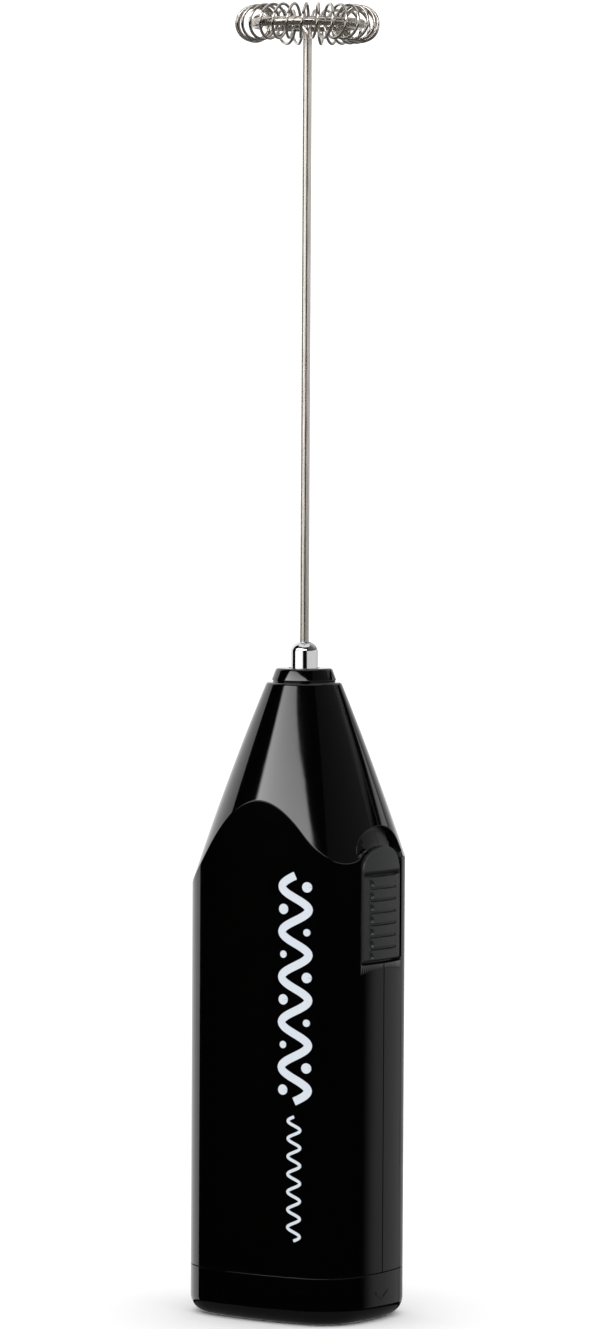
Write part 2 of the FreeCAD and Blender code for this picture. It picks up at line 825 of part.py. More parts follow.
def whisk_coupling():
    """The plated ferrule: domed top, motor shaft bore below and whisk bore above."""
    body = rod(coupling_radius, coupling_z, coupling_top_z)
    body = body.makeFillet(coupling_dome, edges_where(body, lambda b: b.ZMin > coupling_top_z - 0.01))
    body = body.makeChamfer(coupling_chamfer, edges_where(body, lambda b: b.ZMax < coupling_z + 0.01))
    lower = rod(shaft_radius, coupling_z - 1, shaft_top_z)
    upper = rod(rod_radius, rod_z, coupling_top_z + 1)
    return body.cut(lower).cut(upper)


def ring_touch_angle():
    """Where the rod's corner bend runs into the ring, as an angle about the spin axis."""
    corner_x = -math.sqrt((whisk_mean_radius - rod_corner_radius) ** 2 - rod_corner_radius ** 2)
    return math.atan2(rod_corner_radius, corner_x)


def ring_point(angle, radius, rise):
    """A point of the whisk head at an angle about the spin axis, above the ring's plane by rise."""
    return V(radius * math.cos(angle), radius * math.sin(angle), whisk_z + rise)


def whisk_rod():
    """One bent wire: up the axis, out along -X, then clockwise round the ring."""
    bend = rod_bend_radius
    corner = rod_corner_radius
    half_bend = bend * math.sqrt(0.5)
    low = V(0, 0, rod_z)
    bend_start = V(0, 0, whisk_z - bend)
    bend_middle = V(-(bend - half_bend), 0, whisk_z - bend + half_bend)
    bend_end = V(-bend, 0, whisk_z)
    # the corner's arc touches the arm and, from inside, the ring
    touch = ring_touch_angle()
    centre = V((whisk_mean_radius - corner) * math.cos(touch), corner, whisk_z)
    arm_end = centre - V(0, corner, 0)
    middle_angle = (touch - 2 * math.pi - math.pi / 2) / 2
    corner_middle = centre + V(math.cos(middle_angle), math.sin(middle_angle), 0) * corner
    ring_points = []
    for share in (0.0, 0.25, 0.5, 0.75, 1.0):
        angle = touch - math.radians(rod_ring_sweep) * share
        ring_points.append(ring_point(angle, whisk_mean_radius, 0.0))
    edges = [
        Part.LineSegment(low, bend_start).toShape(),
        Part.Arc(bend_start, bend_middle, bend_end).toShape(),
        Part.LineSegment(bend_end, arm_end).toShape(),
        Part.Arc(arm_end, corner_middle, ring_points[0]).toShape(),
        Part.Arc(ring_points[0], ring_points[1], ring_points[2]).toShape(),
        Part.Arc(ring_points[2], ring_points[3], ring_points[4]).toShape(),
    ]
    section = Part.Wire([Part.Circle(low, UP, rod_radius).toShape()])
    return Part.Wire(edges).makePipeShell([section], True, False)


def whisk_spring():
    """The coil round the ring, from the rod's free end to its corner, with end turns that grip the rod."""
    steps = whisk_turns * 8
    margin = math.radians(whisk_end_angle)
    start = ring_touch_angle() - math.radians(rod_ring_sweep) + margin
    sweep = math.radians(rod_ring_sweep) - 2 * margin
    grip_radius = rod_radius + whisk_wire_radius + whisk_grip_gap
    points = []
    for i in range(steps + 1):
        turn = whisk_turns * i / steps
        share = min(1.0, min(turn, whisk_turns - turn) / whisk_grip_turns)
        ease = share * share * (3 - 2 * share)
        coil = grip_radius + (whisk_coil_radius - grip_radius) * ease
        phase = 2 * math.pi * turn
        radius = whisk_mean_radius + coil * math.cos(phase)
        points.append(ring_point(start + sweep * turn / whisk_turns, radius, coil * math.sin(phase)))
    return wire_body(points, whisk_wire_radius)


def main():
    os.makedirs("parts", exist_ok=True)
    shell = full_shell()
    save("front_shell", half_shell(shell, -1))
    save("rear_shell", half_shell(shell, 1))
    save("nose_collar", nose_collar())
    save("motor_carrier", motor_carrier())
    save("motor_can", motor_can())
    save("motor_end_cap", motor_end_cap())
    save("magnet_left", magnet(-1))
    save("magnet_right", magnet(1))
    save("motor_front_bush", bush(motor_top_z - front_bush_inside, motor_top_z + boss_height))
    save("motor_rear_bush", bush(motor_z - cap_boss_height, can_z + rear_bush_inside))
    save("brush_plus", brush(1))
    save("brush_minus", brush(-1))
    save("battery_cell_right", cell(oval_centre_x + cell_offset, True))
    save("battery_cell_left", cell(oval_centre_x - cell_offset, False))
    save("contact_plus", contact_plus())
    save("contact_minus", contact_minus())
    top_z = carrier_z - contact_thickness
    save("contact_spring", battery_spring(oval_centre_x - cell_offset, top_z, top_z - cell_top_z, True))
    save("switch_strip", switch_strip())
    save("switch_slider", switch_slider())
    save("switch_wiper", switch_wiper())
    save("battery_cover", battery_cover())
    save("cover_contact", cover_contact())
    bottom_z = base_wall + contact_thickness
    save("cover_spring", battery_spring(oval_centre_x + cell_offset, bottom_z, cell_z - bottom_z, False))
    save("motor_shaft", motor_shaft())
    save("armature_core", armature_core())
    save("armature_windings", armature_windings())
    save("commutator", commutator())
    save("whisk_coupling", whisk_coupling())
    save("whisk_rod", whisk_rod())
    save("whisk_spring", whisk_spring())


main()
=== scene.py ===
"""The looks of a hand-held milk frother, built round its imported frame. All lengths are in metres."""
import json
import math

import bmesh
import bpy
import numpy as np
from mathutils import Matrix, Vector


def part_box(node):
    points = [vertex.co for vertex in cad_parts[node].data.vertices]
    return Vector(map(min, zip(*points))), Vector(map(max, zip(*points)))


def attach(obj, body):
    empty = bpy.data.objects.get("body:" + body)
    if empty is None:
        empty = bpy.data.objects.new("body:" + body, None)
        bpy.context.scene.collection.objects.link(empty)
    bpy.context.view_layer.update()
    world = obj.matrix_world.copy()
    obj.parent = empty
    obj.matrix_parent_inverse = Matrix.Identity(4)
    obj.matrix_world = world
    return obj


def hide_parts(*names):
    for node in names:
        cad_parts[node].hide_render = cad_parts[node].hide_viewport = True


bl_info = {
    "name": "Milk frother",
    "version": (1, 0, 0),
    "blender": (4, 5, 0),
    "location": "View3D > Sidebar > Frother",
    "description": "Builds the mouldings, switch, coupling and whisk of a milk frother round its frame",
    "category": "Mesh",
}

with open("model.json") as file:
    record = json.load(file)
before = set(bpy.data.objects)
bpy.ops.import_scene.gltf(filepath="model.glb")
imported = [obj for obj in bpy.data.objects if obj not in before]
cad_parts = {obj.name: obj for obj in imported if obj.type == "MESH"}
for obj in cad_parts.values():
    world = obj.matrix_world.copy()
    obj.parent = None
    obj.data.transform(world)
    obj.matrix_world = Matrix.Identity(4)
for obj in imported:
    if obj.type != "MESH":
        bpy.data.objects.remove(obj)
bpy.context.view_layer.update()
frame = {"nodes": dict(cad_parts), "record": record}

SHELL_LOW, SHELL_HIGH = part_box("front_shell")
COLLAR_LOW, COLLAR_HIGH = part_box("nose_collar")
COUPLING_LOW, COUPLING_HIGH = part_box("whisk_coupling")
ROD_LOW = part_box("whisk_rod")[0]
COIL_LOW, COIL_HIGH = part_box("whisk_spring")
COVER_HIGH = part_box("battery_cover")[1]
SLIDER_LOW, SLIDER_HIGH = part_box("switch_slider")
SHAFT_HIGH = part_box("motor_shaft")[1]

WHISK_Z = (COIL_LOW.z + COIL_HIGH.z) / 2
NOSE_Z = SHELL_HIGH.z
SHELL_Z = SHELL_LOW.z
OVAL_X = (SHELL_LOW.x + SHELL_HIGH.x) / 2
OVAL_HALF_LENGTH = (SHELL_HIGH.x - SHELL_LOW.x) / 2
OVAL_HALF_WIDTH = -SHELL_LOW.y


def length(name, description, default):
    """A length property in metres."""
    return bpy.props.FloatProperty(
        name=name, description=description, default=default, min=0.0, precision=5, unit="LENGTH"
    )


def angle(name, description, degrees):
    """An angle property, given here in degrees."""
    return bpy.props.FloatProperty(
        name=name, description=description, default=math.radians(degrees), unit="ROTATION", subtype="ANGLE"
    )


def tint(name, description, code):
    """A colour property from an sRGB hex code."""
    return bpy.props.FloatVectorProperty(
        name=name, description=description, default=linear(code), size=3, min=0.0, max=1.0, subtype="COLOR"
    )


def linear(code):
    """Turns an sRGB hex code such as 1A1A1A into linear red, green and blue."""
    values = [int(code[i:i + 2], 16) / 255 for i in (0, 2, 4)]
    return tuple(v / 12.92 if v <= 0.04045 else ((v + 0.055) / 1.055) ** 2.4 for v in values)


class BodySizes(bpy.types.PropertyGroup):
    side_radius: length("Side radius", "Radius of the broad faces of the oval", 0.060)
    end_radius: length("End radius", "Radius of the narrow ends of the oval", 0.030)
    corner_radius: length("Corner radius", "Radius that joins faces and ends", 0.0085)
    nose_radius: length("Nose radius", "Radius of the nose at the top of the shells", 0.0062)
    nose_angle: angle("Nose angle", "Half angle of the nose, from the spin axis to its chord", 20.06)
    nose_profile: length("Nose profile", "Radius of the nose's slightly convex profile", 0.450)
    nose_slant: length("Nose slant", "Length of the profile's chord", 0.036)
    wall: length("Wall", "Wall of the mouldings", 0.0018)
    nose_wall: length("Nose wall", "Thickness of the land round the nose hole", 0.0022)
    nose_hole: length("Nose hole", "Radius of the hole that the collar sits in", 0.0039)
    crease_round: length("Crease round", "Half the width of the rounding where nose meets body", 0.00012)
    nose_round: length("Nose round", "Half the width of the rounding at the top edge", 0.00035)
    seam_gap: length("Seam gap", "Gap between the two half shells", 0.00006)
    seam_round: length("Seam round", "Edge radius at the seams", 0.00012)
    cover_gap: length("Cover gap", "Gap between shells and battery cover", 0.00015)
    cover_round: length("Cover round", "Edge radius where shells and battery cover meet", 0.00005)
    base_round: length("Base round", "Edge radius of the base", 0.0028)
    base_wall: length("Base wall", "Thickness of the battery cover's floor", 0.0018)
    slip: length("Slip", "Clearance of pieces that slide in one another", 0.00015)
    arrow_foot: length("Arrow foot", "Height of the cover's raised arrow", 0.0034)
    arrow_rise: length("Arrow rise", "How far the arrow's ends stand over its point", 0.0011)
    arrow_half: length("Arrow half width", "Half the width of the arrow", 0.0018)
    arrow_width: length("Arrow width", "Width of the arrow's strokes", 0.0005)
    arrow_height: length("Arrow height", "How far the arrow stands proud", 0.00008)
    tongue_half: length("Tongue half length", "Half the length of a cover tongue", 0.0085)
    tongue_wall: length("Tongue wall", "Thickness of a cover tongue", 0.0012)


class SwitchSizes(bpy.types.PropertyGroup):
    half_width: length("Half width", "Half the width of the thumb pad", 0.0056)
    shoulder_rise: length("Shoulder rise", "Height of the pad's straight sides", 0.0144)
    dome: length("Dome", "Height of the pad's domed top", 0.0045)
    thickness: length("Thickness", "Thickness of the pad", 0.0008)
    edge_round: length("Edge round", "Edge radius of the pad", 0.0004)
    gap: length("Gap", "Gap between pad and recess", 0.0004)
    recess: length("Recess", "Depth of the recess", 0.0011)
    scoop_half: length("Scoop half width", "Half the width of the thumb scoop", 0.0065)
    scoop_rise: length("Scoop rise", "Height of the scoop's shoulder over the pad's", 0.0030)
    scoop_height: length("Scoop height", "Height of the scoop's arch", 0.0047)
    rib_pitch: length("Rib pitch", "Distance from rib to rib", 0.0020)
    rib_half: length("Rib half length", "Half the length of a rib", 0.0039)
    rib_height: length("Rib height", "Height of a rib", 0.00030)
    rib_gap: length("Rib gap", "Width of the groove between ribs", 0.00028)
    rib_sink: length("Rib sink", "Depth of the grooves between ribs under the pad's face", 0.00015)
    notch: length("Notch", "Radius of the notch in a rib's end", 0.00055)
    groove: length("Groove", "Width of the thumb groove", 0.0009)
    groove_depth: length("Groove depth", "Depth of the thumb groove", 0.00065)
    stem_half: length("Stem half width", "Half the width of the stem", 0.0018)
    stem_rise: length("Stem rise", "Height of the stem's foot over the pad's bottom", 0.0046)
    stem_height: length("Stem height", "Height of the stem", 0.0050)
    travel: length("Travel", "How far the slider moves", 0.0025)


class WhiskSizes(bpy.types.PropertyGroup):
    rod_radius: length("Rod radius", "Radius of the whisk rod", 0.00075)
    wire_radius: length("Wire radius", "Radius of the coil's wire", 0.00025)
    ring_radius: length("Ring radius", "Radius of the ring that the coil runs round", 0.00895)
    coil_radius: length("Coil radius", "Radius of a turn, to the wire's centre", 0.00278)
    turns: bpy.props.IntProperty(name="Turns", description="Turns of the coil", default=27, min=3)
    end_gap: angle("End gap", "How far the coil stops short of the ring's ends", 1.5)
    bend_radius: length("Bend radius", "Bend from the shaft to the arm", 0.0022)
    corner_radius: length("Corner radius", "Bend from the arm to the ring", 0.0020)
    ring_sweep: angle("Ring sweep", "How far round the rod's ring runs", 336.0)
    dome: length("Coupling dome", "Radius of the coupling's domed top", 0.0017)
    collar_base: length("Collar base", "Radius of the collar at its foot", 0.0054)
    collar_top: length("Collar top", "Radius of the collar at its top", 0.00465)
    collar_rise: length("Collar rise", "Height of the collar's tapered part", 0.0020)
    collar_groove: length("Collar groove", "Radius of the groove under the collar", 0.0052)


class Finishes(bpy.types.PropertyGroup):
    body: tint("Body", "Gloss black ABS of the handle", "020202")
    switch: tint("Switch", "Matte black ABS of the slider", "1B1C1D")
    print_ink: tint("Print", "Pad-printed ink on the handle", "CDD4DC")
    steel: tint("Steel", "Drawn stainless steel wire", "D6D0C8")
    chrome: tint("Chrome", "Bright plating of the coupling", "E3E3E4")
    floor: tint("Floor", "Pale floor", "F4F4F4")


# Shares of a wall's height, with a row close to each end that keeps the edge roundings' shading narrow.
FRACTIONS = np.concatenate([[0, 0.002], np.linspace(0, 1, 22)[1:-1], [0.998, 1]])


# ---- mesh makers


def grid_faces(rows, columns, wrap_rows, wrap_columns, first):
    """Quads of a rows by columns grid whose vertices start at first; wrapping joins last to first."""
    r = np.arange(rows if wrap_rows else rows - 1)
    c = np.arange(columns if wrap_columns else columns - 1)
    r, c = (a.ravel() for a in np.meshgrid(r, c, indexing="ij"))
    r2 = (r + 1) % rows
    c2 = (c + 1) % columns
    return first + np.stack([r * columns + c, r * columns + c2, r2 * columns + c2, r2 * columns + c], axis=1)


def make_object(name, grids, sharp_degrees=35.0):
    """One mesh from several (points, wrap_rows, wrap_columns) grids, welded, turned outwards and smooth."""
    points, faces, first = [], [], 0
    for grid, wrap_rows, wrap_columns in grids:
        rows, columns = grid.shape[:2]
        points.append(grid.reshape(-1, 3))
        faces.append(grid_faces(rows, columns, wrap_rows, wrap_columns, first))
        first += rows * columns
    points = np.concatenate(points)
    faces = np.concatenate(faces)
    mesh = bpy.data.meshes.new(name)
    mesh.from_pydata(points, [], faces)
    tidy_mesh(mesh, sharp_degrees)
    obj = bpy.data.objects.new(name, mesh)
    bpy.context.scene.collection.objects.link(obj)
    return obj


def tidy_mesh(mesh, sharp_degrees):
    """Merges doubled vertices, drops empty faces, turns faces outwards and shades smooth up to an angle."""
    work = bmesh.new()
    work.from_mesh(mesh)
    bmesh.ops.remove_doubles(work, verts=work.verts, dist=1e-6)
    bmesh.ops.dissolve_degenerate(work, edges=work.edges, dist=1e-8)
    bmesh.ops.recalc_face_normals(work, faces=work.faces)
    work.to_mesh(mesh)
    work.free()
    mesh.shade_smooth()
    mesh.set_sharp_from_angle(angle=math.radians(sharp_degrees))
    mesh.update()


def slab(front, back):
    """A closed skin between two grids of one shape: both grids and the four strips that join their edges."""
    edges = [
        (front[0], back[0]),
        (front[-1], back[-1]),
        (front[:, 0], back[:, 0]),
        (front[:, -1], back[:, -1]),
    ]
    strips = [(np.stack(pair), False, False) for pair in edges]
    return [(front, False, False), (back, False, False)] + strips


def upright_block(x0, x1, half, z0, z1, columns, rows):
    """A plain upright block between x0 and x1, with columns by rows points on each of two faces."""
    y, z = np.meshgrid(np.linspace(-half, half, columns), np.linspace(z0, z1, rows))
    return slab(*[np.stack([np.full(y.shape, x), y, z], axis=2) for x in (x1, x0)])


def lathe(profile, count, centre=(0.0, 0.0), closed=True):
    """A profile of (radius, height) rows turned about an upright axis through centre."""
    turn = np.linspace(0, 2 * np.pi, count, endpoint=False)
    radius, height = np.asarray(profile, float).T
    x = centre[0] + radius[:, None] * np.cos(turn)
    y = centre[1] + radius[:, None] * np.sin(turn)
    z = np.broadcast_to(height[:, None], x.shape)
    return (np.stack([x, y, z], axis=2), closed, True)


def rounded(corners, rounds, steps=6):
    """A closed profile from corner points; a quadratic curve rounds each, starting its own distance away."""
    corners = np.asarray(corners, float)
    before = np.roll(corners, 1, axis=0) - corners
    after = np.roll(corners, -1, axis=0) - corners
    before /= np.linalg.norm(before, axis=1)[:, None]
    after /= np.linalg.norm(after, axis=1)[:, None]
    size = np.asarray(rounds, float)[:, None]
    share = np.linspace(0, 1, steps)[None, :, None]
    start = (corners + before * size)[:, None]
    stop = (corners + after * size)[:, None]
    middle = corners[:, None]
    curve = (1 - share) ** 2 * start + 2 * share * (1 - share) * middle + share ** 2 * stop
    keep = np.repeat(size[:, 0] > 0, steps) | (np.tile(np.arange(steps), len(corners)) == 0)
    return curve.reshape(-1, 2)[keep]


def tube(path, reference, radius, sides):
    """A round wire along path: each ring lies square to the path, turned from a reference direction.

    radius may change along the path. Each end closes in a shallow dome.
    """
    path = np.asarray(path, float)
    along = np.gradient(path, axis=0)
    along /= np.linalg.norm(along, axis=1)[:, None]
    side = reference - along * np.sum(reference * along, axis=1)[:, None]
    side /= np.linalg.norm(side, axis=1)[:, None]
    up = np.cross(along, side)
    radius = np.broadcast_to(radius, len(path)).astype(float)
    dome = np.radians([90, 60, 30])
    rise = 0.4
    lead = -np.sin(dome) * radius[0] * rise
    tail = np.sin(dome[::-1]) * radius[-1] * rise
    first = path[0] + along[0] * lead[:, None]
    last = path[-1] + along[-1] * tail[:, None]
    path = np.concatenate([first, path, last])
    more = len(dome)
    side = np.concatenate([np.repeat(side[:1], more, 0), side, np.repeat(side[-1:], more, 0)])
    up = np.concatenate([np.repeat(up[:1], more, 0), up, np.repeat(up[-1:], more, 0)])
    radius = np.concatenate([np.cos(dome) * radius[0], radius, np.cos(dome[::-1]) * radius[-1]])
    turn = np.linspace(0, 2 * np.pi, sides, endpoint=False)[None, :, None]
    ring = np.cos(turn) * side[:, None] + np.sin(turn) * up[:, None]
    return (path[:, None] + ring * radius[:, None, None], False, True)


def smooth_step(value, low, high):
    """0 below low, 1 above high, and a smooth cubic between."""
    share = np.clip((value - low) / (high - low), 0, 1)
    return share * share * (3 - 2 * share)


# ---- body form


class BodyForm:
    """The oval of tangent arcs carried up and cut by the turned nose. All surfaces of the handle use it."""

    def __init__(self, sizes):
        self.sizes = sizes
        self.side_y = OVAL_HALF_WIDTH - sizes.side_radius
        self.end_x = OVAL_HALF_LENGTH - sizes.end_radius
        to_side = sizes.side_radius - sizes.corner_radius
        to_end = sizes.end_radius - sizes.corner_radius
        span = math.hypot(self.end_x, self.side_y)
        along = (to_side ** 2 - to_end ** 2 + span ** 2) / (2 * span)
        across = math.sqrt(to_side ** 2 - along ** 2)
        ux, uy = self.end_x / span, -self.side_y / span
        self.corner_x = along * ux + across * uy
        self.corner_y = self.side_y + along * uy - across * ux
        if self.corner_x < 0 or self.corner_y < 0:
            self.corner_x = along * ux - across * uy
            self.corner_y = self.side_y + along * uy + across * ux
        self.side_turn = math.atan2(self.corner_y - self.side_y, self.corner_x)
        self.end_turn = math.atan2(self.corner_y, self.corner_x - self.end_x)
        across, up = math.cos(sizes.nose_angle), math.sin(sizes.nose_angle)
        half = sizes.nose_slant / 2
        sink = math.sqrt(sizes.nose_profile ** 2 - half ** 2)
        self.profile_x = sizes.nose_radius + half * up - sink * across
        self.profile_z = NOSE_Z - half * across - sink * up

    def nose_reach(self, z, inset=0.0):
        """Radius of the turned nose at height z: a long arc about the spin axis, shrunk square to itself."""
        return self.profile_x + np.sqrt((self.sizes.nose_profile - inset) ** 2 - (z - self.profile_z) ** 2)

    def nose_height(self, reach, inset=0.0):
        """Height at which the nose has this radius."""
        square = (self.sizes.nose_profile - inset) ** 2 - (reach - self.profile_x) ** 2
        return self.profile_z + np.sqrt(square)

    def end_reach(self, y, inset):
        """X of the switch end's straight wall at y: the end arc, and past it the corner arc."""
        end = self.end_x + np.sqrt(np.maximum((self.sizes.end_radius - inset) ** 2 - y ** 2, 0))
        over = np.abs(y) - self.corner_y
        corner = self.corner_x + np.sqrt(np.maximum((self.sizes.corner_radius - inset) ** 2 - over ** 2, 0))
        touch = (self.sizes.end_radius - inset) * math.sin(self.end_turn)
        return OVAL_X + np.where(np.abs(y) <= touch, end, corner)

    def side_reach(self, x, inset):
        """Distance of the broad face from the seam plane at x: the side arc, and past it the corner arc."""
        x = np.abs(x - OVAL_X)
        side = self.side_y + np.sqrt((self.sizes.side_radius - inset) ** 2 - x ** 2)
        over = x - self.corner_x
        corner = self.corner_y + np.sqrt(np.maximum((self.sizes.corner_radius - inset) ** 2 - over ** 2, 0))
        touch = (self.sizes.side_radius - inset) * math.cos(self.side_turn)
        return np.where(x <= touch, side, corner)

    def end_surface(self, y, z, inset):
        """The switch end of the form at (y, z): the nearer of the straight wall and the nose."""
        nose = np.sqrt(np.maximum(self.nose_reach(z, inset) ** 2 - y ** 2, 0))
        x = np.minimum(self.end_reach(y, inset), nose)
        return np.stack([x, np.broadcast_to(y, x.shape), np.broadcast_to(z, x.shape)], axis=-1)

    def half_columns(self, inset):
        """Points of half the oval, from the switch seam to the back seam on the +Y side, with seam roundings.

        The first and last few columns stand at fixed distances from the seam plane.
        """
        s = self.sizes
        near = np.array([0.0, 0.15, 0.4, 0.7, 1.0, 1.3]) * s.seam_round
        near_y = near + s.seam_gap / 2
        drop = s.seam_round - np.sqrt(s.seam_round ** 2 - np.maximum(s.seam_round - near, 0) ** 2)
        near_x = self.end_x + np.sqrt((s.end_radius - inset) ** 2 - near_y ** 2)
        seam_strip = 0.0009
        start = seam_strip / s.end_radius
        arcs = [
            (self.end_x, 0.0, s.end_radius, start, self.end_turn, 10),
            (self.corner_x, self.corner_y, s.corner_radius, self.end_turn, self.side_turn, 30),
            (0.0, self.side_y, s.side_radius, self.side_turn, math.pi / 2, 12),
        ]
        xs, ys = [near_x], [near_y]
        for cx, cy, radius, low, high, count in arcs:
            turn = np.linspace(low, high, count, endpoint=False)
            xs.append(cx + (radius - inset) * np.cos(turn))
            ys.append(cy + (radius - inset) * np.sin(turn))
        x = np.concatenate(xs)
        y = np.concatenate(ys)
        drops = np.zeros(len(x))
        drops[:len(near)] = drop
        middle_y = self.side_y + s.side_radius - inset
        x = np.concatenate([x, [0.0], -x[::-1]])
        y = np.concatenate([y, [middle_y], y[::-1]])
        drops = np.concatenate([drops, [0.0], drops[::-1]])
        return OVAL_X + x, y, drops, len(near)

    def half_skin(self, inset, low, high, hole, low_round, high_round):
        """One side of a half shell as a grid: up the wall, over the crease, up the nose and in to the hole.

        Each column lies in a plane through the spin axis. Roundings are quadratic curves.
        """
        x, y, drop, near = self.half_columns(inset)
        reach = np.hypot(x, y)
        one = np.ones_like(reach)
        give = self.sizes.crease_round
        crease = self.nose_height(reach, inset)
        rows = []

        def curve(start, middle, stop, count):
            """A quadratic curve between two points of every column."""
            for share in np.linspace(0, 1, count):
                parts = (1 - share) ** 2, 2 * share * (1 - share), share ** 2
                rows.append([sum(p * end[i] for p, end in zip(parts, (start, middle, stop))) for i in (0, 1)])

        curve((reach - low_round, low * one), (reach, low * one), (reach, (low + low_round) * one), 6)
        straight = crease - give - low - low_round
        rows += [(reach, low + low_round + straight * share) for share in FRACTIONS[1:-1]]
        above = crease + give
        curve((reach, crease - give), (reach, crease), (self.nose_reach(above, inset), above), 6)
        top = high - high_round
        for share in FRACTIONS[1:-1]:
            z = above + (top - above) * share
            rows.append((self.nose_reach(z, inset), z))
        edge = self.nose_reach(high, inset)
        curve((self.nose_reach(top, inset) * one, top * one), (edge * one, high * one),
              ((edge - high_round) * one, high * one), 8)
        rows += [((edge - high_round + hole) / 2 * one, high * one), (hole * one, high * one)]
        radius = np.stack([r for r, z in rows]) - drop
        height = np.stack([z for r, z in rows])
        turn = np.arctan2(y, x)
        px = radius * np.cos(turn)
        py = radius * np.sin(turn)
        for columns, sign in ((slice(0, near), 1), (slice(-near, None), -1)):
            py[:, columns] = y[columns]
            px[:, columns] = sign * np.sqrt(radius[:, columns] ** 2 - y[columns] ** 2)
        return np.stack([px, py, height], axis=2)

    def ring(self, inset, z, scale=1.0):
        """One closed ring of the oval at height z, shrunk by inset and then scaled about its centre."""
        x, y, _, near = self.half_columns(inset)
        x = x[near:-near]
        y = y[near:-near]
        ends = np.array([OVAL_X + OVAL_HALF_LENGTH - inset, OVAL_X - OVAL_HALF_LENGTH + inset])
        x = np.concatenate([ends[:1], x, ends[1:], x[::-1]])
        y = np.concatenate([[0.0], y, [0.0], -y[::-1]])
        return np.stack([OVAL_X + (x - OVAL_X) * scale, y * scale, np.full(len(x), z)], axis=1)


# ---- materials


def add_node(tree, kind, settings=None, links=None):
    """Adds one node: settings go to its attributes or sockets, links join its sockets to others' outputs."""
    made = tree.nodes.new(kind)
    for key, value in (settings or {}).items():
        if isinstance(key, str) and hasattr(made, key):
            setattr(made, key, value)
        else:
            made.inputs[key].default_value = value
    for key, output in (links or {}).items():
        tree.links.new(output, made.inputs[key])
    return made


def new_material(name):
    """An empty node material with its shader and its Object coordinates."""
    material = bpy.data.materials.new(name)
    material.use_nodes = True
    tree = material.node_tree
    tree.nodes.clear()
    shader = add_node(tree, "ShaderNodeBsdfPrincipled")
    add_node(tree, "ShaderNodeOutputMaterial", links={"Surface": shader.outputs[0]})
    place = add_node(tree, "ShaderNodeTexCoord").outputs["Object"]
    return material, tree, shader, place


def fine_noise(tree, place, period, low, high, detail=3.0, stretch=(1.0, 1.0, 1.0)):
    """Noise whose grains are period metres apart, spread from low to high."""
    scaled = add_node(tree, "ShaderNodeMapping", {"Scale": stretch}, {"Vector": place})
    noise = add_node(
        tree, "ShaderNodeTexNoise", {"Scale": 1.0 / period, "Detail": detail}, {"Vector": scaled.outputs[0]}
    )
    spread = add_node(
        tree, "ShaderNodeMapRange", {"From Min": 0.3, "From Max": 0.7, "To Min": low, "To Max": high},
        {"Value": noise.outputs[0]},
    )
    return noise.outputs[0], spread.outputs[0]


def bump(tree, shader, height, depth):
    """Bumps the shader's normal by a height of depth metres."""
    made = add_node(tree, "ShaderNodeBump", {"Strength": 1.0, "Distance": depth}, {"Height": height})
    tree.links.new(made.outputs[0], shader.inputs["Normal"])


def two_tones(tree, shader, color, change, share):
    """Mixes the shader's colour with a darker or lighter tone of itself, by a share from 0 to 1."""
    tone = tuple(min(1.0, c * change) for c in color)
    mix = add_node(
        tree, "ShaderNodeMix", {"data_type": "RGBA", 6: (*color, 1.0), 7: (*tone, 1.0)}, {0: share}
    )
    tree.links.new(mix.outputs[2], shader.inputs["Base Color"])


def gloss_abs(name, color):
    """Injection-moulded ABS from a polished mould: deep black, mirror-like with a trace of orange peel.

    Where the mesh's own textured attribute is 1 the mould was spark eroded, and the black looks dull.
    """
    material, tree, shader, place = new_material(name)
    shader.inputs["IOR"].default_value = 1.53
    handling, rough = fine_noise(tree, place, period=0.006, low=0.05, high=0.085)
    textured = add_node(tree, "ShaderNodeAttribute", {"attribute_name": "textured"}).outputs["Fac"]
    eroded = 0.42
    finish = add_node(tree, "ShaderNodeMix", {"data_type": "FLOAT", 3: eroded}, {0: textured, 2: rough})
    tree.links.new(finish.outputs[0], shader.inputs["Roughness"])
    peel, _ = fine_noise(tree, place, period=0.0035, low=0.0, high=1.0, detail=1.0)
    bump(tree, shader, peel, depth=0.000004)
    two_tones(tree, shader, color, change=0.75, share=handling)
    return material


def matte_abs(name, color):
    """Injection-moulded ABS from a spark-eroded mould: dull black with a fine even grain of 0.12 mm."""
    material, tree, shader, place = new_material(name)
    shader.inputs["IOR"].default_value = 1.53
    grain, rough = fine_noise(tree, place, period=0.00012, low=0.34, high=0.46)
    tree.links.new(rough, shader.inputs["Roughness"])
    bump(tree, shader, grain, depth=0.000012)
    two_tones(tree, shader, color, change=1.5, share=grain)
    return material


def printed_ink(name, color):
    """Pad-printed white ink: satin, with slightly uneven cover over the black plastic."""
    material, tree, shader, place = new_material(name)
    shader.inputs["IOR"].default_value = 1.5
    cover, rough = fine_noise(tree, place, period=0.0004, low=0.35, high=0.5)
    tree.links.new(rough, shader.inputs["Roughness"])
    two_tones(tree, shader, color, change=0.9, share=cover)
    return material


def drawn_steel(name, color, rough_low, rough_high):
    """Stainless wire drawn through a die: bright metal with faint lines along its length."""
    material, tree, shader, place = new_material(name)
    shader.inputs["Metallic"].default_value = 1.0
    spacing, lengthways = 0.00015, (1.0, 1.0, 0.03)
    lines, rough = fine_noise(tree, place, spacing, rough_low, rough_high, stretch=lengthways)
    tree.links.new(rough, shader.inputs["Roughness"])
    bump(tree, shader, lines, depth=0.000003)
    two_tones(tree, shader, color, change=0.8, share=lines)
    return material


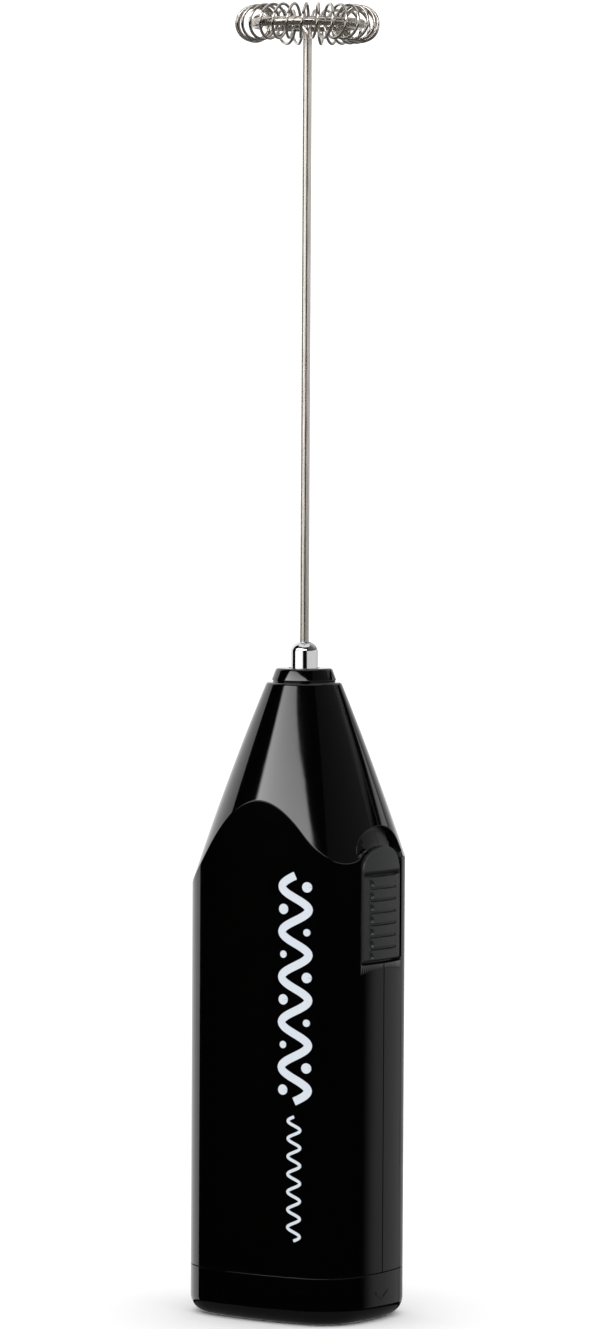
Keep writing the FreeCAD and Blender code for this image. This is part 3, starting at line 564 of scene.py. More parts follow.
def plain_finish(name, code, metallic, rough, grain, depth):
    """A hidden part's finish: one colour with a fine grain of its own in tone, roughness and relief."""
    material, tree, shader, place = new_material(name)
    shader.inputs["Metallic"].default_value = metallic
    noise, spread = fine_noise(tree, place, grain, rough * 0.8, rough * 1.2)
    tree.links.new(spread, shader.inputs["Roughness"])
    bump(tree, shader, noise, depth)
    two_tones(tree, shader, linear(code), change=0.8, share=noise)
    return material


def finish_piece(obj, body, material, slot, *nodes):
    """Gives a piece its material, joins it to its body and has it stand for its CAD nodes."""
    obj.data.materials.clear()
    obj.data.materials.append(material)
    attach(obj, body)
    if nodes:
        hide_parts(*nodes)
    return obj


def shared_material(name, maker, *args):
    """The material of that name, made the first time it is asked for."""
    found = bpy.data.materials.get(name)
    return found if found is not None else maker(name, *args)


def gloss_black(context):
    """The polished black that the handle's mouldings share."""
    return shared_material("polished_abs_black", gloss_abs, context.scene.frother_finishes.body)


def subtract(obj, cutter):
    """Cuts one closed mesh out of another and removes the cutter."""
    modifier = obj.modifiers.new("cut", "BOOLEAN")
    modifier.operation = "DIFFERENCE"
    modifier.solver = "EXACT"
    modifier.object = cutter
    ready = obj.evaluated_get(bpy.context.evaluated_depsgraph_get())
    mesh = bpy.data.meshes.new_from_object(ready)
    obj.modifiers.clear()
    old = obj.data
    obj.data = mesh
    bpy.data.meshes.remove(old)
    gone = cutter.data
    bpy.data.objects.remove(cutter)
    bpy.data.meshes.remove(gone)


# ---- operators


def recess_outline(sizes):
    """The recess as a closed loop of (y, z): straight sides, a step out and an arched top.

    It runs from the bottom middle to the right, up, over the arch and back down the left.
    """
    low = SLIDER_LOW.z - sizes.gap
    half = sizes.half_width + sizes.gap
    shoulder = SLIDER_LOW.z + sizes.shoulder_rise + sizes.scoop_rise
    lip, corner = 0.0008, 0.0005
    step = shoulder - lip
    turn = np.linspace(-np.pi / 2, 0, 6)
    arch = np.linspace(0, np.pi / 2, 28)
    y = [
        np.linspace(0, half - corner, 12, endpoint=False),
        half - corner + corner * np.cos(turn),
        np.full(40, half),
        sizes.scoop_half * np.cos(arch),
    ]
    z = [
        np.full(12, low),
        low + corner + corner * np.sin(turn),
        np.linspace(low + corner, step, 41)[1:],
        shoulder + sizes.scoop_height * np.sin(arch),
    ]
    y = np.concatenate(y)
    z = np.concatenate(z)
    return np.concatenate([y, -y[-2:0:-1]]), np.concatenate([z, z[-2:0:-1]])


def recess_cutter(form, sizes):
    """What is taken out of the shells for the thumb switch.

    Loops of the recess outline go in from outside, flare at the surface, and close over the recess floor,
    which lies a fixed depth under the body's own surface.
    """
    y, z = recess_outline(sizes)
    out_y = np.roll(z, -1) - np.roll(z, 1)
    out_z = np.roll(y, 1) - np.roll(y, -1)
    size = np.hypot(out_y, out_z)
    out_y /= size
    out_z /= size
    middle = (z.min() + z.max()) / 2
    outside = np.full(len(y), 0.024)
    wider, taller = 1.1, 1.05
    rows = []
    for scale in (0.0, 0.5, 1.0):
        loop = [outside, y * scale * wider, middle + (z - middle) * scale * taller]
        rows.append(np.stack(loop, axis=1))
    flare = 0.00016
    over = -0.0002
    for spread, inset in ((flare * 1.2, over), (flare, 0.0), (flare * 0.35, flare * 0.35), (0.0, flare)):
        rows.append(form.end_surface(y + out_y * spread, z + out_z * spread, inset))
    floor = sizes.recess
    fillet, bulge = 0.00025, 0.00008
    for spread, inset in ((0.0, floor - fillet), (-bulge, floor - bulge), (-fillet, floor)):
        rows.append(form.end_surface(y + out_y * spread, z + out_z * spread, inset))
    for scale in np.linspace(0.93, 0.0, 14):
        rows.append(form.end_surface(y * scale, middle + (z - middle) * scale, floor))
    return make_object("cutter", [(np.stack(rows), False, True)])


def stem_cutter(sizes):
    """The slot that the slider's stem passes through."""
    clear = 0.0004
    inside, outside = 0.010, 0.020
    half = sizes.stem_half + clear
    low = SLIDER_LOW.z + sizes.stem_rise - clear
    high = SLIDER_LOW.z + sizes.stem_rise + sizes.stem_height + sizes.travel + clear
    return make_object("cutter", upright_block(inside, outside, half, low, high, 5, 7))


class FROTHER_OT_shells(bpy.types.Operator):
    """Build the two half shells of the handle, with the recess for the switch"""

    bl_idname = "frother.shells"
    bl_label = "Half shells"

    def execute(self, context):
        sizes = context.scene.frother_body
        switch = context.scene.frother_switch
        form = BodyForm(sizes)
        outer = form.half_skin(0.0, SHELL_Z, NOSE_Z, sizes.nose_hole, sizes.cover_round, sizes.nose_round)
        under = NOSE_Z - sizes.nose_wall
        foot_round, top_round = 0.0001, 0.0002
        inner = form.half_skin(sizes.wall, SHELL_Z, under, sizes.nose_hole, foot_round, top_round)
        material = gloss_black(context)
        for name, side in (("front_shell", -1.0), ("rear_shell", 1.0)):
            flip = np.array([1.0, side, 1.0])
            shell = make_object("moulded_" + name, slab(outer * flip, inner * flip))
            subtract(shell, recess_cutter(form, switch))
            subtract(shell, stem_cutter(switch))
            tidy_mesh(shell.data, 30.0)
            self.texture_recess(shell.data, form, switch)
            finish_piece(shell, "housing", material, "gloss_black_abs", name)
        return {"FINISHED"}

    def texture_recess(self, mesh, form, sizes):
        """Marks the recess's faces: those under the switch end's surface, but less deep than its wall."""
        centres = np.empty(len(mesh.polygons) * 3)
        mesh.polygons.foreach_get("center", centres)
        x, y, z = centres.reshape(-1, 3).T
        depth = form.end_surface(y, z, 0.0)[:, 0] - x
        reach = sizes.scoop_half + 0.0003
        least, most = 0.0002, sizes.recess + 0.0001
        low, high = SLIDER_LOW.z - 0.001, NOSE_Z - 0.01
        inside = (depth > least) & (depth < most) & (np.abs(y) < reach) & (x > 0)
        inside &= (z > low) & (z < high)
        textured = mesh.attributes.new("textured", "FLOAT", "FACE")
        textured.data.foreach_set("value", inside.astype(np.float32))


class FROTHER_OT_cover(bpy.types.Operator):
    """Build the battery cover with its two tongues"""

    bl_idname = "frother.cover"
    bl_label = "Battery cover"

    def execute(self, context):
        sizes = context.scene.frother_body
        form = BodyForm(sizes)
        top = SHELL_Z - sizes.cover_gap
        edge = sizes.cover_round
        rows = [form.ring(sizes.base_round, 0.0, scale) for scale in (0.0, 0.25, 0.5, 0.75, 0.95)]
        for turn in np.radians(np.linspace(0, 90, 14)):
            rows.append(
                form.ring(sizes.base_round * (1 - math.sin(turn)), sizes.base_round * (1 - math.cos(turn)))
            )
        for z in np.append(np.linspace(sizes.base_round + edge, top - edge * 2, 6), top - edge):
            rows.append(form.ring(0.0, z))
        for turn in np.radians((30, 60, 90)):
            rows.append(form.ring(edge * (1 - math.cos(turn)), top - edge * (1 - math.sin(turn))))
        bevel = 0.0004
        rim = 0.003
        hollow = sizes.wall + bevel
        rows += [form.ring(sizes.wall, top), form.ring(sizes.wall, top - rim)]
        rows += [form.ring(sizes.wall, sizes.base_wall + bevel), form.ring(hollow, sizes.base_wall)]
        rows += [form.ring(hollow, sizes.base_wall, scale) for scale in (0.7, 0.4, 0.0)]
        grids = [(np.stack(rows), False, True)]
        x = np.linspace(OVAL_X - sizes.tongue_half, OVAL_X + sizes.tongue_half, 18)
        root, lead_in, thinning = 0.0002, 0.0008, 0.0003
        z = np.linspace(sizes.base_wall - root, COVER_HIGH.z, 9)
        x, z = np.meshgrid(x, z)
        taper = thinning * smooth_step(z, COVER_HIGH.z - lead_in, COVER_HIGH.z)
        near = sizes.wall + sizes.slip
        for side in (-1.0, 1.0):
            skins = []
            for inset in (near + taper, near + sizes.tongue_wall - taper):
                skins.append(np.stack([x, side * form.side_reach(x, inset), z], axis=2))
            grids += slab(*skins)
        grids += self.arrow(form, sizes)
        cover = make_object("moulded_battery_cover", grids)
        material = gloss_black(context)
        finish_piece(cover, "cover", material, "gloss_black_abs", "battery_cover")
        return {"FINISHED"}

    def arrow(self, form, sizes):
        """A small raised chevron on the switch end that points the way the cover comes off."""
        share, across = np.meshgrid(np.linspace(-1, 1, 21), np.linspace(-0.5, 0.5, 4))
        y = sizes.arrow_half * share
        z = sizes.arrow_foot + sizes.arrow_rise * np.abs(share) + sizes.arrow_width * (across + 0.5)
        return slab(form.end_surface(y, z, -sizes.arrow_height), form.end_surface(y, z, sizes.arrow_height))


class FROTHER_OT_collar(bpy.types.Operator):
    """Build the tapered nose collar"""

    bl_idname = "frother.collar"
    bl_label = "Nose collar"

    def execute(self, context):
        body = context.scene.frother_body
        whisk = context.scene.frother_whisk
        running_gap, fitting_gap, hook = 0.00035, 0.00008, 0.0008
        bore = COUPLING_HIGH.x + running_gap
        foot = COLLAR_HIGH.z - whisk.collar_rise
        under = NOSE_Z - body.nose_wall
        neck = body.nose_hole - fitting_gap
        barb = body.nose_hole + hook
        corners = [
            (bore, COLLAR_LOW.z), (barb, COLLAR_LOW.z), (barb, under),
            (neck, under), (neck, NOSE_Z), (whisk.collar_groove, NOSE_Z), (whisk.collar_groove, foot),
            (whisk.collar_base, foot), (whisk.collar_top, COLLAR_HIGH.z), (bore, COLLAR_HIGH.z),
        ]
        rounds = (0.0, 0.0001, 0.0001, 0.0, 0.0, 0.0, 0.0, 0.00012, 0.0004, 0.0001)
        collar = make_object("moulded_nose_collar", [lathe(rounded(corners, rounds), 96)], 50.0)
        material = gloss_black(context)
        finish_piece(collar, "housing", material, "gloss_black_collar", "nose_collar")
        return {"FINISHED"}


class FROTHER_OT_switch(bpy.types.Operator):
    """Build the ribbed thumb slider"""

    bl_idname = "frother.switch"
    bl_label = "Thumb slider"

    def execute(self, context):
        sizes = context.scene.frother_switch
        form = BodyForm(context.scene.frother_body)
        low = SLIDER_LOW.z
        shoulder = low + sizes.shoulder_rise
        climb = np.linspace(0, 1, 60)
        domed = shoulder + sizes.dome * np.sin(climb[1:] * np.pi / 2)
        z = np.concatenate([np.linspace(low, shoulder, 300), domed])
        half = np.where(z <= shoulder, sizes.half_width, 0.0)
        share = np.clip((z - shoulder) / sizes.dome, 0, 1)
        half = np.where(z > shoulder, sizes.half_width * np.sqrt(np.maximum(1 - share ** 2, 0)), half)
        crowding = 0.96
        across = np.sin(np.linspace(-1, 1, 121) * np.pi / 2 * crowding) / math.sin(np.pi / 2 * crowding)
        y = half[:, None] * across[None, :]
        z = np.broadcast_to(z[:, None], y.shape)
        inset = self.relief(sizes, y, z, half[:, None], shoulder)
        front = form.end_surface(y, z, inset)
        back = form.end_surface(y, z, sizes.thickness)
        grids = slab(front, back)
        clear, plate, lap = 0.00025, 0.001, 0.0011
        inner = OVAL_X + OVAL_HALF_LENGTH - context.scene.frother_body.wall - clear
        stem_low = low + sizes.stem_rise
        stem_high = stem_low + sizes.stem_height
        plate_half, margin = 0.0034, 0.001
        root, tip = inner - plate, SLIDER_HIGH.x - lap
        grids += upright_block(root, tip, sizes.stem_half, stem_low, stem_high, 4, 5)
        grids += upright_block(root, inner, plate_half, stem_low - margin, stem_high + margin, 4, 5)
        slider = make_object("moulded_switch_slider", grids, 40.0)
        black = context.scene.frother_finishes.switch
        material = shared_material("spark_textured_abs_black", matte_abs, black)
        finish_piece(slider, "slider", material, "matte_black_switch", "switch_slider")
        return {"FINISHED"}

    def relief(self, sizes, y, z, half, shoulder):
        """How deep the pad's face lies under the body's surface: edge rounding, thumb groove and ribs.

        The groove slopes inwards and ends in a step. Ribs stand proud, so they are negative, with narrow
        grooves between them; their ends are notched by half rounds.
        """
        radius = sizes.edge_round
        side = half - np.abs(y)
        bottom = z - z.min()
        edge = np.minimum(side, bottom)
        close = np.clip(radius - edge, 0, radius)
        rounding = radius - np.sqrt(np.maximum(radius ** 2 - close ** 2, 0))
        fall = (shoulder + sizes.groove / 2 - z) / sizes.groove
        slope, step = 1.2, 0.86
        groove = sizes.groove_depth * np.clip(fall * slope, 0, 1) * (1 - smooth_step(fall, step, 1.0))
        margin, run_out = 0.0002, 0.0007
        groove = groove * smooth_step(side, margin, run_out)
        top = shoulder - sizes.groove / 2
        place = (top - z) / sizes.rib_pitch
        part = (place - np.floor(place)) * sizes.rib_pitch
        tall = sizes.rib_pitch - sizes.rib_gap
        soft = 0.0001
        ribbed = (1 - smooth_step(np.abs(y), sizes.rib_half - soft, sizes.rib_half)) * (z < top)
        rib = smooth_step(part, 0.0, soft) * (1 - smooth_step(part, tall - soft, tall))
        notch_share = 0.68
        notch = np.hypot(np.abs(y) - sizes.rib_half, part - tall * notch_share)
        notch = smooth_step(notch, sizes.notch - soft, sizes.notch + soft)
        relief = ribbed * (sizes.rib_height + sizes.rib_sink) * rib * notch
        return rounding + groove + sizes.rib_sink * ribbed - relief


class FROTHER_OT_coupling(bpy.types.Operator):
    """Build the plated coupling"""

    bl_idname = "frother.coupling"
    bl_label = "Whisk coupling"

    def execute(self, context):
        whisk = context.scene.frother_whisk
        radius = COUPLING_HIGH.x
        low, high = COUPLING_LOW.z, COUPLING_HIGH.z
        fitting_gap, foot_bevel, mouth_bevel = 0.00002, 0.0003, 0.0001
        bore = whisk.rod_radius + fitting_gap
        shaft = SHAFT_HIGH.x
        turn = np.radians(np.linspace(0, 90, 16))
        dome = whisk.dome
        profile = [(0.0, SHAFT_HIGH.z), (shaft, SHAFT_HIGH.z), (shaft, low), (radius - foot_bevel, low)]
        profile += [(radius, low + foot_bevel), (radius, high - dome)]
        profile += [
            (radius - dome * (1 - math.cos(t)), high - dome * (1 - math.sin(t))) for t in turn[1:]
        ]
        profile += [(bore + mouth_bevel, high), (bore, high - mouth_bevel)]
        profile += [(bore, ROD_LOW.z), (0.0, ROD_LOW.z)]
        coupling = make_object("plated_whisk_coupling", [lathe(profile, 64, closed=False)], 40.0)
        chrome = context.scene.frother_finishes.chrome
        material = shared_material("bright_chrome_plate", drawn_steel, chrome, 0.05, 0.09)
        finish_piece(coupling, "rotor", material, "chrome_plate", "whisk_coupling")
        return {"FINISHED"}


class FROTHER_OT_whisk(bpy.types.Operator):
    """Build the bent whisk rod and the coil round its ring"""

    bl_idname = "frother.whisk"
    bl_label = "Whisk"

    def execute(self, context):
        whisk = context.scene.frother_whisk
        steel = context.scene.frother_finishes.steel
        path, reference = self.rod_path(whisk)
        rod = make_object("bent_whisk_rod", [tube(path, reference, whisk.rod_radius, 24)], 60.0)
        material = shared_material("drawn_stainless_rod", drawn_steel, steel, 0.16, 0.3)
        finish_piece(rod, "rotor", material, "stainless_wire", "whisk_rod")
        path, reference = self.coil_path(whisk)
        coil = make_object("coiled_whisk_spring", [tube(path, reference, whisk.wire_radius, 12)], 60.0)
        material = shared_material("drawn_stainless_coil", drawn_steel, steel, 0.12, 0.22)
        finish_piece(coil, "rotor", material, "stainless_wire", "whisk_spring")
        return {"FINISHED"}

    def rod_path(self, whisk):
        """The rod's centre line: up the axis, a bend, out along -X, a corner, then round the ring.

        Arcs are worked out from their centres. The reference direction turns from Y to Z along the arm.
        """
        bend, corner, ring = whisk.bend_radius, whisk.corner_radius, whisk.ring_radius
        end_dome = 0.0003
        rise = np.linspace(ROD_LOW.z + end_dome, WHISK_Z - bend, 40)
        up = np.stack([rise * 0, rise * 0, rise], axis=1)
        turn = np.linspace(0, np.pi / 2, 14)[1:]
        over = np.stack([-bend + bend * np.cos(turn), turn * 0, WHISK_Z - bend + bend * np.sin(turn)], axis=1)
        corner_x = -math.sqrt((ring - corner) ** 2 - corner ** 2)
        out = np.linspace(-bend, corner_x, 12)[1:]
        arm = np.stack([out, out * 0, out * 0 + WHISK_Z], axis=1)
        touch = math.atan2(corner, corner_x)
        sweep = np.linspace(-np.pi / 2, touch - 2 * np.pi, 14)[1:]
        round_corner = np.stack(
            [corner_x + corner * np.cos(sweep), corner + corner * np.sin(sweep), sweep * 0 + WHISK_Z], axis=1
        )
        around = np.linspace(touch, touch - whisk.ring_sweep, 150)[1:]
        circle = np.stack([ring * np.cos(around), ring * np.sin(around), around * 0 + WHISK_Z], axis=1)
        path = np.concatenate([up, over, arm, round_corner, circle])
        tilt = np.concatenate([
            np.zeros(len(up) + len(over)), np.linspace(0, np.pi / 2, len(arm)),
            np.full(len(round_corner) + len(circle), np.pi / 2),
        ])
        reference = np.stack([tilt * 0, np.cos(tilt), np.sin(tilt)], axis=1)
        return path, reference

    def coil_path(self, whisk):
        """The coil's centre line: a helix wound round the ring, whose end turns close on to the rod."""
        turn = np.linspace(0, whisk.turns, whisk.turns * 36 + 1)
        clear, closing_turns = 0.00002, 0.75
        grip = whisk.rod_radius + whisk.wire_radius + clear
        ease = smooth_step(np.minimum(turn, whisk.turns - turn), 0.0, closing_turns)
        coil = grip + (whisk.coil_radius - grip) * ease
        corner_x = -math.sqrt((whisk.ring_radius - whisk.corner_radius) ** 2 - whisk.corner_radius ** 2)
        touch = math.atan2(whisk.corner_radius, corner_x)
        sweep = whisk.ring_sweep - 2 * whisk.end_gap
        around = touch - whisk.ring_sweep + whisk.end_gap + sweep * turn / whisk.turns
        phase = 2 * np.pi * turn
        outward = np.stack([np.cos(around), np.sin(around), around * 0], axis=1)
        upward = np.array([[0.0, 0.0, 1.0]])
        reference = outward * np.cos(phase)[:, None] + upward * np.sin(phase)[:, None]
        middle = outward * whisk.ring_radius + upward * WHISK_Z
        return middle + reference * coil[:, None], reference


class FROTHER_OT_print(bpy.types.Operator):
    """Print a plain wave and foam bubbles in white on the handle"""

    bl_idname = "frother.print"
    bl_label = "Printed pattern"

    centre: length("Centre", "Distance of the print's middle line from the spin axis", 0.0072)
    wave_low: length("Wave bottom", "Height of the bold wave's foot", 0.0370)
    wave_high: length("Wave top", "Height of the bold wave's head", 0.0742)
    tail_low: length("Tail bottom", "Height of the thin wave's foot", 0.0140)
    tail_high: length("Tail top", "Height of the thin wave's head", 0.0345)

    def execute(self, context):
        form = BodyForm(context.scene.frother_body)
        grids = []
        waves = 5
        grids += self.stroke(form, self.wave_low, self.wave_high, swing=0.0024, waves=waves, width=0.00135)
        grids += self.stroke(form, self.tail_low, self.tail_high, swing=0.0011, waves=7, width=0.0005)
        period = (self.wave_high - self.wave_low) / waves
        aside, large, small = 0.0021, 0.00085, 0.0006
        for i in range(2 * waves):
            z = self.wave_low + period * (i + 0.5) / 2
            side = -1 if i % 2 == 0 else 1
            grids += self.disc(form, self.centre + side * aside, z, large if i % 4 < 2 else small)
        ink = make_object("printed_wave", grids, 60.0)
        white = context.scene.frother_finishes.print_ink
        material = shared_material("pad_printed_ink_white", printed_ink, white)
        finish_piece(ink, "housing", material, "gloss_black_abs")
        return {"FINISHED"}

    def film(self, form, x, z):
        """A film of ink over (x, z) on the front face, 0.02 mm proud of it."""
        proud = 0.00002
        skins = [np.stack([x, -form.side_reach(x, inset), z], axis=2) for inset in (-proud, proud)]
        return slab(*skins)

    def stroke(self, form, low, high, swing, waves, width):
        """A sine wave of constant width that runs up the face."""
        share = np.linspace(0, 1, waves * 28 + 1)
        z = low + (high - low) * share
        phase = 2 * np.pi * waves * share
        x = self.centre + swing * np.sin(phase)
        slope = swing * np.cos(phase) * 2 * np.pi * waves / (high - low)
        size = np.hypot(1, slope)
        reach = np.linspace(-0.5, 0.5, 7)[None, :] * width
        lean = reach * (slope / size)[:, None]
        return self.film(form, x[:, None] + reach / size[:, None], z[:, None] - lean)

    def disc(self, form, x, z, radius):
        """A round dot."""
        turn = np.linspace(0, 2 * np.pi, 33)[:, None]
        reach = np.linspace(0.02, 1, 6)[None, :] * radius
        return self.film(form, x + reach * np.cos(turn), z + reach * np.sin(turn))


class FROTHER_OT_cells(bpy.types.Operator):
    """Build the two cells in their film sleeves"""

    bl_idname = "frother.cells"
    bl_label = "Cells"

    def execute(self, context):
        material = shared_material("shrink_sleeve_blue", plain_finish, "27466B", 0.0, 0.3, 0.002, 0.00001)
        for name, up in (("battery_cell_right", 1.0), ("battery_cell_left", -1.0)):
            low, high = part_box(name)
            radius = (high.x - low.x) / 2
            centre = ((low.x + high.x) / 2, 0.0)
            tall = high.z - low.z
            # The sleeve's profile runs from the flat end, over both rolled edges, to the raised button.
            rows = [(0.0, 0.0), (radius * 0.82, 0.0), (radius * 0.86, 0.0003), (radius * 0.93, 0.0003)]
            rows += [(radius * 0.99, 0.0006), (radius, 0.0012), (radius, tall * 0.5), (radius, tall - 0.0022)]
            rows += [(radius * 0.98, tall - 0.0015), (radius * 0.88, tall - 0.0012), (0.0029, tall - 0.0012)]
            rows += [(0.0027, tall - 0.0009), (0.0026, tall - 0.0001), (0.0024, tall), (0.0, tall)]
            middle = (low.z + high.z) / 2
            rows = [(r, middle + up * (z - tall / 2)) for r, z in rows]
            cell = make_object("sleeved_" + name, [lathe(rows, 64, centre, False)], 40.0)
            finish_piece(cell, "housing", material, "cell_jacket", name)
        return {"FINISHED"}


class FROTHER_OT_inner_works(bpy.types.Operator):
    """Give every piece that shows as it was designed its own finish"""

    bl_idname = "frother.inner_works"
    bl_label = "Inner works"

    def execute(self, context):
        finishes = {
            "white_nylon": ("moulded_nylon_natural", "D9D6CB", 0.0, 0.45, 0.0002, 0.000008),
            "zinc_plated_steel": ("zinc_plated_steel_drawn", "A9ABAD", 1.0, 0.3, 0.0004, 0.000003),
            "ferrite": ("sintered_ferrite", "3A3A3C", 0.0, 0.7, 0.0002, 0.00002),
            "sintered_bronze": ("sintered_bronze", "9A7A4A", 1.0, 0.5, 0.00015, 0.00001),
            "spring_copper": ("rolled_phosphor_bronze", "C08A5A", 1.0, 0.25, 0.0003, 0.000003),
            "nickel_plated_strip": ("nickel_plated_strip", "C9C5BA", 1.0, 0.22, 0.0003, 0.000003),
            "nickel_plated_wire": ("nickel_plated_wire", "C9C5BA", 1.0, 0.2, 0.0002, 0.000003),
            "ground_steel": ("ground_steel", "B5B5B6", 1.0, 0.2, 0.0002, 0.000002),
            "laminated_iron": ("stamped_laminations", "7A7A7C", 1.0, 0.45, 0.0005, 0.00001),
            "enamelled_copper": ("enamelled_copper_wire", "8E4B24", 0.8, 0.3, 0.0002, 0.00002),
        }
        shown = {row["node"]: row["material_slot"] for row in frame["record"]["subparts"]}
        for node, obj in frame["nodes"].items():
            if shown[node] not in finishes:
                continue
            name, *look = finishes[shown[node]]
            material = shared_material(name, plain_finish, *look)
            obj.data.materials.clear()
            obj.data.materials.append(material)
        return {"FINISHED"}


class FROTHER_OT_stage(bpy.types.Operator):
    """Set the pale floor, the studio light and the camera"""

    bl_idname = "frother.stage"
    bl_label = "Stage"

    azimuth: angle("Azimuth", "Camera's direction round the frother", 34.0)
    distance: length("Distance", "Camera's distance from the spin axis", 0.955)
    height: length("Height", "Camera's height over the floor", 0.1533)
    pitch: angle("Pitch", "How far the camera looks down", 2.71)
    roll: angle("Roll", "How far the camera leans", 0.30)
    aside: angle("Aside", "How far the camera looks past the spin axis", 0.0415)
    surround: bpy.props.FloatProperty(name="Surround", description="Brightness of the surround", default=1.3)
    room: bpy.props.FloatProperty(name="Room", description="Brightness of the reflected room", default=0.004)
    away: length("Panel distance", "Distance of the light panels from the frother", 1.6)
    lens: bpy.props.FloatProperty(name="Lens", description="Focal length in millimetres", default=156.0)

    def execute(self, context):
        scene = context.scene
        scene.view_settings.view_transform = "Standard"
        self.floor(scene)
        self.world(scene)
        self.lights(scene)
        self.camera(scene)
        return {"FINISHED"}

    def floor(self, scene):
        """A flat pale floor, a few metres across."""
        half_size, drop = 6, 0.0001
        reach = np.linspace(-half_size, half_size, 13)
        x, y = np.meshgrid(reach, reach)
        floor = make_object("floor", [(np.stack([x, y, x * 0 - drop], axis=2), False, False)])
        material, tree, shader, place = new_material("matte_paper_floor")
        _, rough = fine_noise(tree, place, period=0.01, low=0.9, high=1.0)
        tree.links.new(rough, shader.inputs["Roughness"])
        shader.inputs["Specular IOR Level"].default_value = 0.0
        shader.inputs["Base Color"].default_value = (*scene.frother_finishes.floor, 1.0)
        floor.data.materials.append(material)
        floor.visible_glossy = False

    def world(self, scene):
        """A white surround that lights evenly; polished surfaces see a dim room instead of it."""
        world = bpy.data.worlds.new("studio")
        scene.world = world
        world.use_nodes = True
        tree = world.node_tree
        tree.nodes.clear()
        rays = add_node(tree, "ShaderNodeLightPath")
        bright = add_node(tree, "ShaderNodeBackground", {"Color": (1, 1, 1, 1), "Strength": self.surround})
        dim = add_node(tree, "ShaderNodeBackground", {"Color": (1, 1, 1, 1), "Strength": self.room})
        mix = add_node(
            tree, "ShaderNodeMixShader", {},
            {0: rays.outputs["Is Glossy Ray"], 1: bright.outputs[0], 2: dim.outputs[0]},
        )
        add_node(tree, "ShaderNodeOutputWorld", links={"Surface": mix.outputs[0]})

    def lights(self, scene):
        """Soft panels round the frother, which show only as reflections and light nothing else.

        Each has its brightness at its left end, its right end and, as a share of that, its top; the share of
        it that fades towards its edge; and the corners of its outline, as azimuth and elevation in degrees,
        measured from the camera's side.
        """
        box = ((-81, 22), (-73, 33), (-65, 41), (-31, 42), (4, 36), (18, 31), (30, 25))
        panels = (
            ("overhead_box", (8.8, 6.6, 0.42), 0.10, box),
            ("ceiling", (1.0, 1.0, 1.0), 0.3, ((-180, 55), (-180, 89), (180, 89), (180, 55))),
            ("under_card", (0.12, 0.12, 1.0), 0.0, ((-180, -89), (-180, -24), (180, -24), (180, -89))),
            ("left_card", (2.0, 1.3, 1.0), 0.1, ((-80, -2.6), (-80, 16), (-10, 16), (-10, -2.6))),
            ("right_card", (0.85, 0.85, 1.0), 0.1, ((20, -2.6), (20, 14), (140, 14), (140, -2.6))),
            ("right_low_card", (0.30, 0.42, 1.0), 0.35, ((90, -20), (90, -2.6), (178, -2.6), (178, -20))),
            ("right_high_card", (0.05, 0.16, 1.0), 0.1, ((20, 18), (45, 55), (108, 55), (108, 18))),
            ("rear_right_card", (0.25, 0.75, 1.0), 0.1, ((96, 18), (96, 60), (170, 60), (170, 18))),
            ("rear_right_low_card", (0.2, 1.5, 1.0), 0.15, ((136, -20), (136, 17), (181, 17), (181, -20))),
            ("rear_left_card", (1.15, 1.15, 1.0), 0.0, ((-113, -20), (-119, 70), (-182, 70), (-182, -20))),
        )
        for name, brightness, fade, outline in panels:
            self.panel(name, brightness, fade, np.radians(np.array(outline, float)))

    def panel(self, name, brightness, fade, outline):
        """A panel that curves round the frother at a fixed distance; its outline is filled from its middle.

        Its brightness runs evenly from side to side and from bottom to top, and falls to nothing over the
        fading share of it.
        """
        share = np.linspace(0, 1, 25)
        ends = np.roll(outline, -1, axis=0)
        steps = np.linspace(0, 1, 24, endpoint=False)[:, None]
        border = (outline[:, None] * (1 - steps) + ends[:, None] * steps).reshape(-1, 2)
        least, span = border.min(axis=0), np.ptp(border, axis=0)
        middle = least + span / 2
        grid = middle + (border - middle) * share[:, None, None]
        turn = grid[..., 0] + self.azimuth
        rise = grid[..., 1]
        around = np.stack([np.sin(turn) * np.cos(rise), -np.cos(turn) * np.cos(rise), np.sin(rise)], axis=2)
        middle_height = 0.1
        points = around * self.away + np.array([0.0, 0.0, middle_height])
        mesh = bpy.data.meshes.new(name)
        mesh.from_pydata(points.reshape(-1, 3), [], grid_faces(*points.shape[:2], False, True, 0))
        left, right, top = brightness
        along = (grid - least) / span
        glow = (left + (right - left) * along[..., 0]) * (1 + (top - 1) * along[..., 1])
        if fade:
            glow = glow * (1 - smooth_step(share, 1 - fade, 1))[:, None]
        spread = mesh.attributes.new("glow", "FLOAT", "POINT")
        spread.data.foreach_set("value", glow.ravel().astype(np.float32))
        panel = bpy.data.objects.new(name, mesh)
        bpy.context.scene.collection.objects.link(panel)
        material = bpy.data.materials.new(name)
        material.use_nodes = True
        tree = material.node_tree
        tree.nodes.clear()
        glow = add_node(tree, "ShaderNodeAttribute", {"attribute_name": "glow"})
        light = add_node(tree, "ShaderNodeEmission", links={"Strength": glow.outputs["Fac"]})
        add_node(tree, "ShaderNodeOutputMaterial", links={"Surface": light.outputs[0]})
        panel.data.materials.append(material)
        panel.visible_camera = False
        panel.visible_diffuse = False
        panel.visible_shadow = False

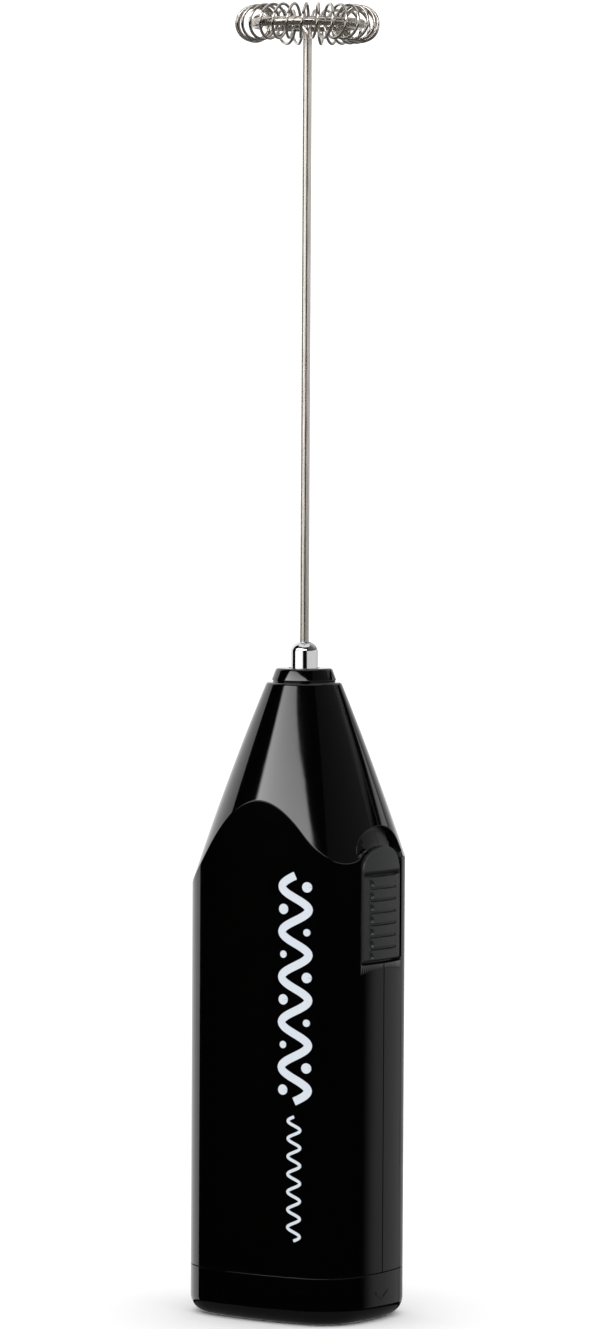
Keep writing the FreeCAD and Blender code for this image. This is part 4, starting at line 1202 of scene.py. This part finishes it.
    def camera(self, scene):
        """The camera stands level with the shaft and looks slightly down on the handle."""
        data = bpy.data.cameras.new("camera")
        data.lens = self.lens
        data.sensor_width = 36.0
        camera = bpy.data.objects.new("camera", data)
        scene.collection.objects.link(camera)
        place = Matrix.Translation(
            (math.sin(self.azimuth) * self.distance, -math.cos(self.azimuth) * self.distance, self.height)
        )
        turn = Matrix.Rotation(self.azimuth + self.aside, 4, "Z")
        tilt = Matrix.Rotation(math.pi / 2 - self.pitch, 4, "X")
        camera.matrix_world = place @ turn @ tilt @ Matrix.Rotation(self.roll, 4, "Z")
        scene.camera = camera


class FROTHER_PT_panel(bpy.types.Panel):
    """Lists the frother's builders"""

    bl_idname = "FROTHER_PT_panel"
    bl_label = "Milk frother"
    bl_space_type = "VIEW_3D"
    bl_region_type = "UI"
    bl_category = "Frother"

    def draw(self, context):
        for maker in OPERATORS:
            self.layout.operator(maker.bl_idname)


GROUPS = {
    "frother_body": BodySizes,
    "frother_switch": SwitchSizes,
    "frother_whisk": WhiskSizes,
    "frother_finishes": Finishes,
}
OPERATORS = (
    FROTHER_OT_stage,
    FROTHER_OT_shells,
    FROTHER_OT_cover,
    FROTHER_OT_collar,
    FROTHER_OT_switch,
    FROTHER_OT_coupling,
    FROTHER_OT_whisk,
    FROTHER_OT_print,
    FROTHER_OT_cells,
    FROTHER_OT_inner_works,
)


def register():
    for name, group in GROUPS.items():
        bpy.utils.register_class(group)
        setattr(bpy.types.Scene, name, bpy.props.PointerProperty(type=group))
    for maker in OPERATORS:
        bpy.utils.register_class(maker)
    bpy.utils.register_class(FROTHER_PT_panel)


def unregister():
    bpy.utils.unregister_class(FROTHER_PT_panel)
    for maker in reversed(OPERATORS):
        bpy.utils.unregister_class(maker)
    for name, group in GROUPS.items():
        delattr(bpy.types.Scene, name)
        bpy.utils.unregister_class(group)


def main():
    register()
    bpy.ops.frother.stage()
    bpy.ops.frother.shells()
    bpy.ops.frother.cover()
    bpy.ops.frother.collar()
    bpy.ops.frother.switch()
    bpy.ops.frother.coupling()
    bpy.ops.frother.whisk()
    bpy.ops.frother.print()
    bpy.ops.frother.cells()
    bpy.ops.frother.inner_works()


if __name__ == "__main__":
    main()
